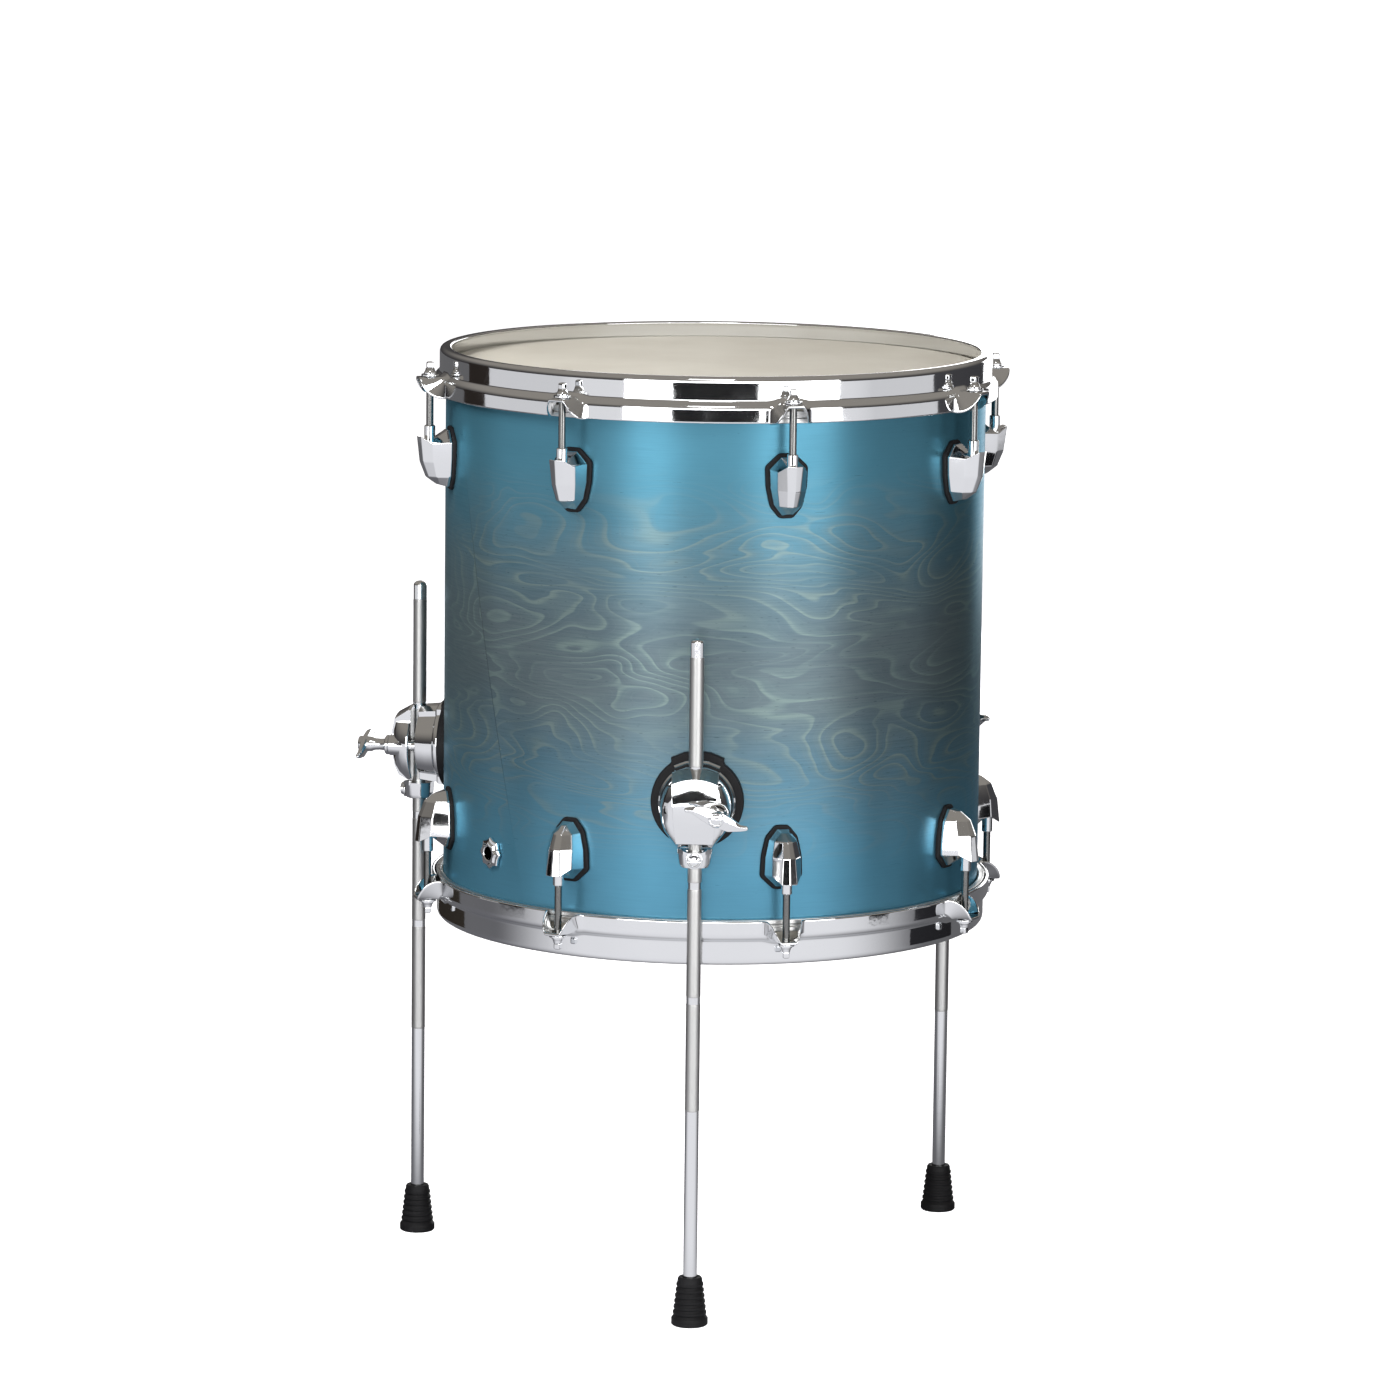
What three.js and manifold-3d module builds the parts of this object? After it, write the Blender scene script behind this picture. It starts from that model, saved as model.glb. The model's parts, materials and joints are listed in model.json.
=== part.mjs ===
// Floor tom: a 16 by 16 inch drum standing on three height-adjustable legs.
// Millimetres, +Z up. The origin is the centre of the batter head's top face.
// The vent faces -Y, and every angle about the drum is counted from -Y towards +X.

import * as THREE from 'three';
import { ConvexGeometry } from 'three/addons/geometries/ConvexGeometry.js';
import { mergeVertices } from 'three/addons/utils/BufferGeometryUtils.js';
import Module from 'manifold-3d';

// Clearances, and how finely round things are faceted
const fitGap = 0.3;
const cutOverrun = 2;
const ringFacets = 72;
const tubeFacets = 12;
const boltFacets = 8;
const plateFacets = 20;
const nutFacets = 6;

// Shell
const shellRadius = 203.2;
const shellDepth = 406.4;
const shellWall = 7.2;
const crestInset = 1.6;

// Heads: a film bonded into a flesh hoop
const filmThickness = 0.4;
const collarGap = 0.8;
const collarRound = 2;
const fleshWidth = 4.6;
const fleshHeight = 9;
const fleshDrop = 12;

// Hoops: one bent sheet whose skirt turns out into an ear at each rod
const hoopSheet = 2.3;
const hoopGap = 1.3;
const skirtGap = 1.1;
const hoopLipReach = 8;
const hoopLipRound = 4;
const hoopLipDroop = 0.5;
const shoulderDrop = 18.5;
const shoulderHeight = 6.5;
const hoopDepth = 34.5;
const earDrop = 18.6;
const earBend = 3.5;
const earReach = 9;
const earFlat = 6;
const earFlare = 14;
const flareStepShares = [0, 0.4, 0.72, 1];
const plainSteps = 5;

// Lugs and tension rods
const lugCount = 8;
const rodStandoff = 16.8;
const rodRadius = 2.75;
const rodEngagement = 31;
const rodBoreSpare = 2;
const washerRadius = 6.5;
const washerThickness = 1.6;
const rodFlangeRadius = 5.3;
const rodFlangeHeight = 1.6;
const rodNeckRadius = 3.3;
const rodNeckHeight = 3.2;
const keySquare = 5;
const keyHeight = 4.4;
const lugDrop = 45.5;
const lugLength = 42.5;
const lugHalfWidth = 13.5;
const lugLead = 9.5;
const lugEdge = 2.5;
const lugGasket = 2;
const lugGasketRim = 2.5;
const nutRadius = 3.8;
const nutRise = 7.5;
const nutSink = 4;
const lugScrewRadius = 2;
const lugScrewHeadRadius = 4.2;
const lugScrewHeadHeight = 2.6;
const lugScrewDepthShare = 0.42;
// Each row: half width, then distance down the lug, as shares of the lug's own sizes
const lugOutlineShares = [[0.37, 0], [1, 0.2], [0.96, 0.52], [0.76, 0.82], [0.32, 1]];
// Each row: half width, distance down, distance out
const lugNoseShares = [[0.44, 0.1, 1], [0.34, 0.55, 0.91], [0.26, 0.82, 0.72], [0.2, 0.96, 0.38]];
const lugCheekShares = [[0.7, 0.21, 0.6], [0.66, 0.55, 0.58], [0.5, 0.82, 0.46]];

// Air vent
const ventRise = 53.4;
const ventBore = 5;
const ventTube = 6.6;
const ventStarRadius = 12;
const ventStarWaist = 10.2;
const ventStarPoints = 8;
const ventFlange = 2.4;
const ventCrown = 1.8;
const ventCrownShare = 0.72;
const ventNutRadius = 10.5;
const ventNutHeight = 3.5;
const ventTubeSpare = 1;

// Leg brackets: gasket, base and jaw, clamped by a wing bolt
const frontLegAngle = THREE.MathUtils.degToRad(50);
const bracketRise = 108.4;
const legStandoff = 26.8;
const legRadius = 5.25;
const bracketGasket = 4.8;
const bracketGasketRadius = 34;
const tabHalfWidth = 19.5;
const tabShoulder = 32;
const tabTop = 37.5;
const tabFootHalf = 14;
const tabBottom = 36;
const baseRadius = 28.5;
const baseShoulderHalf = 17.2;
const baseShoulder = 27.5;
const baseTop = 32;
const baseFootHalf = 12.5;
const baseBottom = 31;
const baseFaceShare = 0.88;
const seamWidth = 5;
const jawHalfWidth = 25;
const jawTop = 31;
const jawBottom = 29;
const jawDepth = 15.5;
// Each row: half width, height up or down the jaw, distance out
const jawBackShares = [[0.62, 1, 0.03], [0.9, 0.66, 0.1], [1, 0.14, 0.16], [0.93, -0.42, 0.14],
  [0.5, -1, 0.03]];
const jawBandShares = [[0.56, 0.94, 0.3], [0.67, 0.62, 0.88], [0.66, 0.32, 1], [0.63, -0.3, 0.97],
  [0.58, -0.7, 0.72], [0.5, -0.96, 0.3]];
const bracketScrewRadius = 2.5;
const bracketScrewHeadRadius = 5;
const bracketScrewHeadHeight = 3.2;
const bracketScrewReach = 19;
const bracketScrewGrip = 6;

// Wing bolts
const wingOffset = 17;
const wingDrop = 1.5;
const wingShankRadius = 4;
const wingShankSink = 13;
const wingBossRadius = 8;
const wingBossProud = 0.4;
const wingCollarRadius = 7.6;
const wingCollarHeight = 3;
const wingStemRadius = 4.4;
const wingStemHeight = 11;
const wingHubRadius = 5.8;
const wingHubHeight = 11;
const wingSpan = 24;
const wingThickness = 5;
const wingTilt = THREE.MathUtils.degToRad(-18);
// Half of the wing's outline, as shares of the half span along and across
const wingUpperShares = [[0.1, 0.24], [0.42, 0.17], [0.75, 0.07], [0.97, 0.13], [1, 0.06]];
const wingLowerShares = [[0.98, -0.02], [0.8, -0.12], [0.45, -0.25], [0.12, -0.25]];

// Legs, feet and memory locks
const legRise = 124;
const legReach = 385;
const legDomeHeight = 4;
const legPlainTop = 14;
const knurlDepth = 0.3;
const knurlLength = 80;
const knurlRing = 5;
const knurlBands = 4;
const footHeight = 36;
const footTopRadius = 9;
const footSoleRadius = 13.5;
const footSoleEdge = 6;
const footSocket = 27;
const lockHeight = 12.5;
const lockHalfWidth = 12.8;
const lockDepth = 10.5;
const lockTaper = 3;
const lockScrewRadius = 4.8;
const lockScrewProud = 4;

// Finishes
function finish(color, roughness, metalness) {
  return new THREE.MeshStandardMaterial({ color, roughness, metalness });
}

const lacquer = finish(0x2f8fae, 0.45, 0.1);
const coatedFilm = finish(0xd9d4c8, 0.8, 0);
const chrome = finish(0xd8dade, 0.12, 1);
const rubber = finish(0x17181a, 0.85, 0);

// Derived places
const bearingHeight = -(fitGap + filmThickness);
const shellInside = shellRadius - shellWall;
const insideSeat = shellInside * Math.cos(Math.PI / ringFacets) - fitGap;
const lugPitch = 2 * Math.PI / lugCount;
const fleshInside = shellRadius + collarGap;
const hoopWallRadius = fleshInside + filmThickness + hoopGap + hoopSheet;
const shoulderStep = fleshWidth + skirtGap - filmThickness - hoopGap;
const hoopLipRise = shoulderDrop + shoulderHeight - fleshDrop;
const rodCircle = shellRadius + rodStandoff;
const gasketFace = shellRadius + lugGasket;
const lugDepth = rodCircle + lugLead - gasketFace;
const earTop = hoopLipRise - earDrop;
const washerFoot = earTop + fitGap;
const lugScrewDrop = lugDrop + lugLength * lugScrewDepthShare;
const nutTop = -(lugDrop + nutSink - nutRise);
const rodBottom = nutTop - rodEngagement;
const ventDrop = shellDepth - ventRise;
const bracketDrop = shellDepth - bracketRise;
const bracketHeight = bearingHeight - bracketDrop;
const legCircle = shellRadius + legStandoff;
const baseBack = shellRadius + bracketGasket + fitGap;
const baseFront = legCircle - seamWidth / 2;
const jawBack = legCircle + seamWidth / 2;
const wingSeat = jawBack + jawDepth + wingBossProud + fitGap;

const wasm = await Module();
wasm.setup();

// A closed three.js geometry as a solid that can be joined and cut
function solidOf(geometry) {
  const bare = geometry.clone();
  bare.deleteAttribute('normal');
  bare.deleteAttribute('uv');
  const merged = mergeVertices(bare);
  const corners = merged.index.array;
  const triangles = [];
  for (let i = 0; i < corners.length; i += 3) {
    const [a, b, c] = corners.slice(i, i + 3);
    if (a !== b && b !== c && c !== a) triangles.push(a, b, c);
  }
  return new wasm.Manifold(new wasm.Mesh({
    numProp: 3,
    vertProperties: new Float32Array(merged.attributes.position.array),
    triVerts: new Uint32Array(triangles),
  }));
}

function geometryOf(solid) {
  const mesh = solid.getMesh();
  const geometry = new THREE.BufferGeometry();
  geometry.setAttribute('position', new THREE.BufferAttribute(new Float32Array(mesh.vertProperties), 3));
  geometry.setIndex(new THREE.BufferAttribute(new Uint32Array(mesh.triVerts), 1));
  geometry.computeVertexNormals();
  return geometry;
}

function joined(...geometries) {
  return geometries.map(solidOf).reduce((whole, next) => whole.add(next));
}

function cutBy(solid, ...geometries) {
  return geometries.map(solidOf).reduce((whole, next) => whole.subtract(next), solid);
}

function piece(name, geometry, material) {
  const mesh = new THREE.Mesh(geometry, material);
  mesh.name = name;
  return mesh;
}

// A point beside the drum's axis: across to the right, out from the axis, and up
function spot(across, out, up) {
  return new THREE.Vector3(across, -out, up);
}

// Radius of a faceted bore whose flats just clear a shaft
function boreAround(radius, facets) {
  return (radius + fitGap) / Math.cos(Math.PI / facets);
}

// Round bar standing along Z
function post(radius, bottom, top, facets) {
  const bar = new THREE.CylinderGeometry(radius, radius, top - bottom, facets);
  return bar.rotateX(Math.PI / 2).translate(0, 0, (top + bottom) / 2);
}

// Round bar pointing out from the drum's axis
function spoke(radius, inner, outer, facets) {
  const bar = new THREE.CylinderGeometry(radius, radius, outer - inner, facets);
  return bar.translate(0, -(inner + outer) / 2, 0);
}

// Turned shapes: profile rows are radius and height, listed upwards along the outside
function turned(profile, facets) {
  const points = profile.map(([radius, height]) => new THREE.Vector2(radius, height));
  return new THREE.LatheGeometry(points, facets).rotateX(Math.PI / 2);
}

function turnedOut(profile, facets) {
  const points = profile.map(([radius, out]) => new THREE.Vector2(radius, out));
  return new THREE.LatheGeometry(points, facets).rotateZ(Math.PI);
}

// Clears the shell's round outside, whichever way its facets fall
function shellCutter(bottom, top) {
  return post(boreAround(shellRadius, ringFacets), bottom, top, ringFacets);
}

// Shell
function shellGeometry() {
  const outside = shellRadius;
  const crest = shellRadius - crestInset;
  const insideDrop = crest - shellInside;
  const profile = [[shellInside, -shellDepth + insideDrop], [crest, -shellDepth],
    [outside, -shellDepth + crestInset], [outside, -crestInset], [crest, 0],
    [shellInside, -insideDrop], [shellInside, -shellDepth + insideDrop]];
  let shell = solidOf(turned(profile, ringFacets));
  for (let i = 0; i < lugCount; i += 1) {
    const angle = (i + 1 / 2) * lugPitch;
    shell = cutBy(shell, wallHole(lugScrewRadius, angle, lugScrewDrop));
    shell = cutBy(shell, wallHole(lugScrewRadius, angle, shellDepth - lugScrewDrop));
  }
  for (const angle of [frontLegAngle, -frontLegAngle, Math.PI]) {
    shell = cutBy(shell, wallHole(bracketScrewRadius, angle, bracketDrop - bracketScrewReach));
    shell = cutBy(shell, wallHole(bracketScrewRadius, angle, bracketDrop + bracketScrewReach));
  }
  return geometryOf(cutBy(shell, wallHole(ventTube, 0, ventDrop)));
}

function wallHole(radius, angle, drop) {
  const bore = boreAround(radius, boltFacets);
  const hole = spoke(bore, shellInside - cutOverrun, shellRadius + cutOverrun, boltFacets);
  return hole.translate(0, 0, -drop).rotateZ(angle);
}

// Head, in the frame of its own end of the shell: the bearing edge is at height 0
function headGeometry() {
  const under = fitGap;
  const top = under + filmThickness;
  const outside = fleshInside + filmThickness;
  const rim = fleshInside + fleshWidth;
  const foot = -fleshDrop - fleshHeight;
  return turned([[0, under], [fleshInside - collarRound, under], [fleshInside, under - collarRound],
    [fleshInside, foot],
    [rim, foot], [rim, -fleshDrop], [outside, -fleshDrop], [outside, top - collarRound],
    [outside - collarRound, top], [0, top]], ringFacets);
}

// The hoop's sheet as a middle line of radius and height. Flare 0 is the plain skirt, 1 the ear
function hoopLine(flare) {
  const wall = hoopWallRadius - hoopSheet / 2;
  const lip = hoopLipRise - hoopSheet / 2;
  const earLevel = earTop - hoopSheet / 2;
  const mix = THREE.MathUtils.lerp;
  const shoulder = hoopLipRise - shoulderDrop;
  const bendTop = mix(shoulder, earLevel + earBend, flare);
  const bendOut = wall + mix(shoulderStep, earBend, flare);
  const bendFoot = mix(shoulder - shoulderHeight, earLevel, flare);
  const skirt = hoopDepth - shoulderDrop - shoulderHeight;
  const ear = rodCircle + earReach - wall - earBend;
  const reach = mix(skirt, ear, flare);
  const slope = (flare - 1) * Math.PI / 2;
  return [[hoopWallRadius - hoopLipReach, lip - hoopLipDroop], [wall - hoopLipRound, lip],
    [wall, lip - hoopLipRound], [wall, bendTop], [bendOut, bendFoot],
    [bendOut + reach * Math.cos(slope), bendFoot + reach * Math.sin(slope)]]
    .map(([radius, height]) => new THREE.Vector2(radius, height));
}

// The outline of a sheet of even thickness about a middle line
function sheetOutline(line, thickness) {
  const sides = [[], []];
  line.forEach((point, i) => {
    const before = line[Math.max(i - 1, 0)];
    const after = line[Math.min(i + 1, line.length - 1)];
    const into = point.clone().sub(i > 0 ? before : point).normalize();
    const onward = after.clone().sub(i < line.length - 1 ? point : after).normalize();
    const along = into.clone().add(onward).normalize();
    const corner = i > 0 && i < line.length - 1 ? along.dot(into) : 1;
    const offset = new THREE.Vector2(-along.y, along.x).multiplyScalar(thickness / 2 / corner);
    sides[0].push(point.clone().add(offset));
    sides[1].unshift(point.clone().sub(offset));
  });
  return sides.flat();
}

// Angles and flares of the hoop's sections, through one ear and on to the next
function hoopStations() {
  const stations = [];
  const flareEnd = (earFlat + earFlare) / rodCircle;
  for (let i = 0; i < lugCount; i += 1) {
    const centre = (i + 1 / 2) * lugPitch;
    const half = flareStepShares.map((share) => ({
      turn: (earFlat + earFlare * share) / rodCircle,
      flare: 1 - THREE.MathUtils.smoothstep(share, 0, 1),
    }));
    half.slice().reverse().forEach(({ turn, flare }) => stations.push({ angle: centre - turn, flare }));
    stations.push({ angle: centre, flare: 1 });
    half.forEach(({ turn, flare }) => stations.push({ angle: centre + turn, flare }));
    const span = lugPitch - 2 * flareEnd;
    for (let k = 1; k < plainSteps; k += 1) {
      stations.push({ angle: centre + flareEnd + span * k / plainSteps, flare: 0 });
    }
  }
  return stations;
}

function hoopGeometry() {
  const stations = hoopStations();
  const positions = [];
  stations.forEach(({ angle, flare }) => {
    const outline = sheetOutline(hoopLine(flare), hoopSheet);
    outline.forEach((p) => positions.push(p.x * Math.sin(angle), -p.x * Math.cos(angle), p.y));
  });
  const around = positions.length / 3 / stations.length;
  const index = [];
  for (let i = 0; i < stations.length; i += 1) {
    const next = (i + 1) % stations.length;
    for (let j = 0; j < around; j += 1) {
      const k = (j + 1) % around;
      const [a, b, c, d] = [i * around + j, next * around + j, next * around + k, i * around + k];
      index.push(a, c, b, a, d, c);
    }
  }
  const ring = new THREE.BufferGeometry();
  ring.setAttribute('position', new THREE.Float32BufferAttribute(positions, 3));
  ring.setIndex(index);
  const bore = boreAround(rodRadius, boltFacets);
  const holes = [];
  for (let i = 0; i < lugCount; i += 1) {
    const hole = post(bore, earTop - hoopSheet - cutOverrun, earTop + cutOverrun, boltFacets);
    holes.push(hole.translate(0, -rodCircle, 0).rotateZ((i + 1 / 2) * lugPitch));
  }
  return geometryOf(cutBy(solidOf(ring), ...holes));
}

// Both mirrored sides of an outline given as shares, as points on one flat layer
function outlineLayer(shares, halfWidth, top, length, out) {
  return shares.flatMap(([wide, down]) => [
    spot(halfWidth * wide, out, top - length * down),
    spot(-halfWidth * wide, out, top - length * down),
  ]);
}

// Lug with its gasket, swivel nut and mounting screw, seen from its rod end upwards
function lugGeometry() {
  const rim = lugGasketRim;
  const gasketTop = -lugDrop + rim;
  const gasketLength = lugLength + 2 * rim;
  const gasketLayers = [shellInside, gasketFace].flatMap((out) => (
    outlineLayer(lugOutlineShares, lugHalfWidth + rim, gasketTop, gasketLength, out)));
  const bodyLayers = [gasketFace, gasketFace + lugEdge].flatMap((out) => (
    outlineLayer(lugOutlineShares, lugHalfWidth, -lugDrop, lugLength, out)));
  const nose = [...lugNoseShares, ...lugCheekShares].flatMap(([wide, down, out]) => (
    outlineLayer([[wide, down]], lugHalfWidth, -lugDrop, lugLength, gasketFace + lugDepth * out)));
  const gasket = cutBy(solidOf(new ConvexGeometry(gasketLayers)), shellCutter(-shellDepth, 0));
  const nut = post(nutRadius, nutTop - nutRise - nutSink, nutTop, boltFacets).translate(0, -rodCircle, 0);
  const screw = spoke(lugScrewRadius, insideSeat, gasketFace + lugEdge, boltFacets);
  const head = spoke(lugScrewHeadRadius, insideSeat - lugScrewHeadHeight, insideSeat, boltFacets);
  [screw, head].forEach((shape) => shape.translate(0, 0, -lugScrewDrop));
  const boreRadius = boreAround(rodRadius, boltFacets);
  const bore = post(boreRadius, rodBottom - rodBoreSpare, nutTop + cutOverrun, boltFacets);
  const body = joined(new ConvexGeometry([...bodyLayers, ...nose]), nut, screw, head);
  return geometryOf(cutBy(body.add(gasket), bore.translate(0, -rodCircle, 0)));
}

// Tension rod with its washer, seated on the hoop's ear
function rodGeometry() {
  const flangeFoot = washerFoot + washerThickness;
  const neckFoot = flangeFoot + rodFlangeHeight;
  const keyFoot = neckFoot + rodNeckHeight;
  const shaft = turned([[0, rodBottom], [rodRadius, rodBottom], [rodRadius, washerFoot],
    [washerRadius, washerFoot], [washerRadius, flangeFoot], [rodFlangeRadius, flangeFoot],
    [rodFlangeRadius, neckFoot], [rodNeckRadius, keyFoot], [0, keyFoot]], boltFacets);
  const key = new THREE.BoxGeometry(keySquare, keySquare, keyHeight + rodNeckHeight / 2);
  key.translate(0, 0, keyFoot + (keyHeight - rodNeckHeight / 2) / 2);
  return geometryOf(joined(shaft, key));
}

// Head, hoop, lugs and rods of one end of the drum
function drumEnd(name, turn) {
  const end = new THREE.Group();
  end.add(piece(`${name}_head`, headGeometry(), coatedFilm));
  end.add(piece(`${name}_hoop`, hoopGeometry(), chrome));
  const lug = lugGeometry();
  const rod = rodGeometry();
  for (let i = 0; i < lugCount; i += 1) {
    const station = new THREE.Group();
    station.rotation.z = turn * (i + 1 / 2) * lugPitch;
    station.add(piece(`${name}_lug_${i + 1}`, lug, chrome));
    const rodMesh = piece(`${name}_tension_rod_${i + 1}`, rod, chrome);
    rodMesh.position.copy(spot(0, rodCircle, 0));
    station.add(rodMesh);
    end.add(station);
  }
  return end;
}

// Vent: a star-shaped flange outside, a tube through the shell and a nut inside
function starShape(share) {
  const shape = new THREE.Shape();
  for (let i = 0; i < 2 * ventStarPoints; i += 1) {
    const radius = (i % 2 ? ventStarWaist : ventStarRadius) * share;
    const angle = Math.PI * i / ventStarPoints;
    shape[i ? 'lineTo' : 'moveTo'](radius * Math.cos(angle), radius * Math.sin(angle));
  }
  return shape;
}

function ventGeometry() {
  const seat = shellRadius + fitGap;
  const plate = (share, depth) => {
    const star = new THREE.ExtrudeGeometry(starShape(share), { depth, bevelEnabled: false });
    return star.rotateX(Math.PI / 2).translate(0, -seat, 0);
  };
  const flange = plate(1, ventFlange);
  const crown = plate(ventCrownShare, ventFlange + ventCrown);
  const end = shellInside - fitGap - ventNutHeight - ventTubeSpare;
  const tube = spoke(ventTube, end, seat + ventFlange / 2, tubeFacets);
  const bore = spoke(ventBore, end - cutOverrun, seat + ventFlange + ventCrown + cutOverrun, tubeFacets);
  return geometryOf(cutBy(joined(flange, crown, tube), bore));
}

function ventNutGeometry() {
  const back = insideSeat - ventNutHeight;
  const nut = spoke(ventNutRadius, back, insideSeat, nutFacets);
  const boreRadius = boreAround(ventTube, tubeFacets);
  const bore = spoke(boreRadius, back - cutOverrun, insideSeat + cutOverrun, tubeFacets);
  return geometryOf(cutBy(solidOf(nut), bore));
}

// Square shoulders and a narrow foot, as points on one flat layer of the bracket
function tabLayer(out, half, shoulder, top, footHalf, bottom) {
  const sides = [-1, 1].flatMap((side) => [
    spot(side * half, out, shoulder),
    spot(side * half / 2, out, (shoulder + 3 * top) / 4),
    spot(side * footHalf, out, -bottom),
  ]);
  return [spot(0, out, top), ...sides];
}

// Base outline on one layer: the shoulders and foot with a round plate between them
function baseLayer(out, share) {
  const points = tabLayer(out, baseShoulderHalf * share, baseShoulder * share, baseTop * share,
    baseFootHalf * share, baseBottom * share);
  for (let i = 0; i < plateFacets; i += 1) {
    const angle = 2 * Math.PI * (i + 1 / 2) / plateFacets;
    const radius = baseRadius * share;
    points.push(spot(radius * Math.sin(angle), out, radius * Math.cos(angle)));
  }
  return points;
}

function bracketScrewBars(radius, inner, outer) {
  return [-bracketScrewReach, bracketScrewReach].map((up) => (
    spoke(radius, inner, outer, boltFacets).translate(0, 0, up)));
}

function bracketGasketGeometry() {
  const face = shellRadius + bracketGasket;
  const plate = spoke(bracketGasketRadius, shellInside, face, plateFacets);
  const layer = (out) => tabLayer(out, tabHalfWidth, tabShoulder, tabTop, tabFootHalf, tabBottom);
  const tab = new ConvexGeometry([...layer(shellInside), ...layer(face)]);
  const bore = boreAround(bracketScrewRadius, boltFacets);
  const holes = bracketScrewBars(bore, shellInside, face + cutOverrun);
  return geometryOf(cutBy(joined(plate, tab), shellCutter(-2 * baseBottom, 2 * baseTop), ...holes));
}

function legBore() {
  const bore = post(boreAround(legRadius, tubeFacets), -2 * baseBottom, 2 * baseTop, tubeFacets);
  return bore.translate(0, -legCircle, 0);
}

function wingBore(inner, outer) {
  const bore = spoke(boreAround(wingShankRadius, tubeFacets), inner, outer, tubeFacets);
  return bore.translate(wingOffset, 0, -wingDrop);
}

function bracketBaseGeometry() {
  const body = new ConvexGeometry([...baseLayer(baseBack, 1), ...baseLayer(baseFront, baseFaceShare)]);
  const headTop = insideSeat - bracketScrewHeadHeight;
  const shanks = bracketScrewBars(bracketScrewRadius, insideSeat, baseBack + bracketScrewGrip);
  const heads = bracketScrewBars(bracketScrewHeadRadius, headTop, insideSeat);
  const socket = wingBore(baseFront - wingShankSink - fitGap, baseFront + cutOverrun);
  return geometryOf(cutBy(joined(body, ...shanks, ...heads), legBore(), socket));
}

function jawGeometry() {
  const height = (share) => share * (share > 0 ? jawTop : jawBottom);
  const rows = [...jawBackShares, ...jawBandShares, ...jawBackShares.map(([wide, up]) => [wide, up, 0])];
  const points = rows.flatMap(([wide, up, out]) => [-1, 1].map((side) => (
    spot(side * wide * jawHalfWidth, jawBack + jawDepth * out, height(up)))));
  const boss = spoke(wingBossRadius, jawBack + jawDepth / 2, wingSeat - fitGap, tubeFacets);
  const body = joined(new ConvexGeometry(points), boss.translate(wingOffset, 0, -wingDrop));
  return geometryOf(cutBy(body, legBore(), wingBore(jawBack - cutOverrun, wingSeat + cutOverrun)));
}

// Wing bolt along its own axis, with the jaw's seat at distance 0
function wingBoltGeometry() {
  const collar = wingCollarHeight;
  const hubFoot = collar + wingStemHeight;
  const hubTop = hubFoot + wingHubHeight;
  const shankEnd = baseFront - wingShankSink - wingSeat;
  const stem = turnedOut([[0, shankEnd], [wingShankRadius, shankEnd], [wingShankRadius, 0],
    [wingCollarRadius, 0], [wingCollarRadius, collar], [wingStemRadius, collar],
    [wingStemRadius, hubFoot], [wingHubRadius, hubFoot], [wingHubRadius, hubTop], [0, hubTop]], tubeFacets);
  const half = [...wingUpperShares, ...wingLowerShares].map(([along, across]) => (
    new THREE.Vector2(along * wingSpan, across * wingSpan)));
  const outline = new THREE.Shape([...half, ...half.map((p) => p.clone().negate())]);
  const wings = new THREE.ExtrudeGeometry(outline, { depth: wingThickness, bevelEnabled: false });
  const wingBack = (hubFoot + hubTop - wingThickness) / 2;
  wings.rotateX(Math.PI / 2).translate(0, -wingBack, 0).rotateY(-wingTilt);
  return geometryOf(joined(stem, wings));
}

// Leg: domed end, knurled lengths parted by plain rings, then smooth to the foot
function legGeometry() {
  const plain = legRadius - knurlDepth;
  const bottom = footHeight - footSocket - legReach + fitGap;
  const profile = [[0, bottom], [plain, bottom]];
  const knurlEnd = legRise - legPlainTop - knurlBands * (knurlLength + knurlRing) + knurlRing;
  for (let i = 0; i < knurlBands; i += 1) {
    const foot = knurlEnd + i * (knurlLength + knurlRing);
    const head = foot + knurlLength;
    profile.push([plain, foot], [legRadius, foot], [legRadius, head], [plain, head]);
  }
  const domeShoulder = legRise - legDomeHeight * (1 - Math.SQRT1_2);
  profile.push([plain, legRise - legDomeHeight], [plain * Math.SQRT1_2, domeShoulder], [0, legRise]);
  return turned(profile, tubeFacets);
}

function footGeometry() {
  const top = footHeight - legReach;
  const socketFoot = top - footSocket;
  const bore = boreAround(legRadius, tubeFacets);
  return turned([[0, -legReach], [footSoleRadius, -legReach], [footSoleRadius, footSoleEdge - legReach],
    [footTopRadius, top], [bore, top], [bore, socketFoot], [0, socketFoot]], tubeFacets);
}

// Memory lock: a collar on the leg just below the bracket, with its key screw pointing out
function lockGeometry() {
  const top = -baseBottom - fitGap;
  const half = lockHalfWidth;
  const layer = (up, inset) => [[half - inset, lockDepth / 2], [half - inset, -lockDepth / 2],
    [half / 2, -lockDepth], [half / 2, lockDepth]].flatMap(([across, out]) => [
    new THREE.Vector3(across, out, up), new THREE.Vector3(-across, out, up)]);
  const block = new ConvexGeometry([...layer(top, 0), ...layer(top - lockHeight, lockTaper)]);
  const boreFoot = top - lockHeight - cutOverrun;
  const bore = post(boreAround(legRadius, tubeFacets), boreFoot, top + cutOverrun, tubeFacets);
  const screw = spoke(lockScrewRadius, legRadius + fitGap, lockDepth + lockScrewProud, tubeFacets);
  const solid = joined(block, screw.translate(0, 0, top - lockHeight / 2 - lockTaper / 2));
  return geometryOf(cutBy(solid, bore));
}

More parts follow.
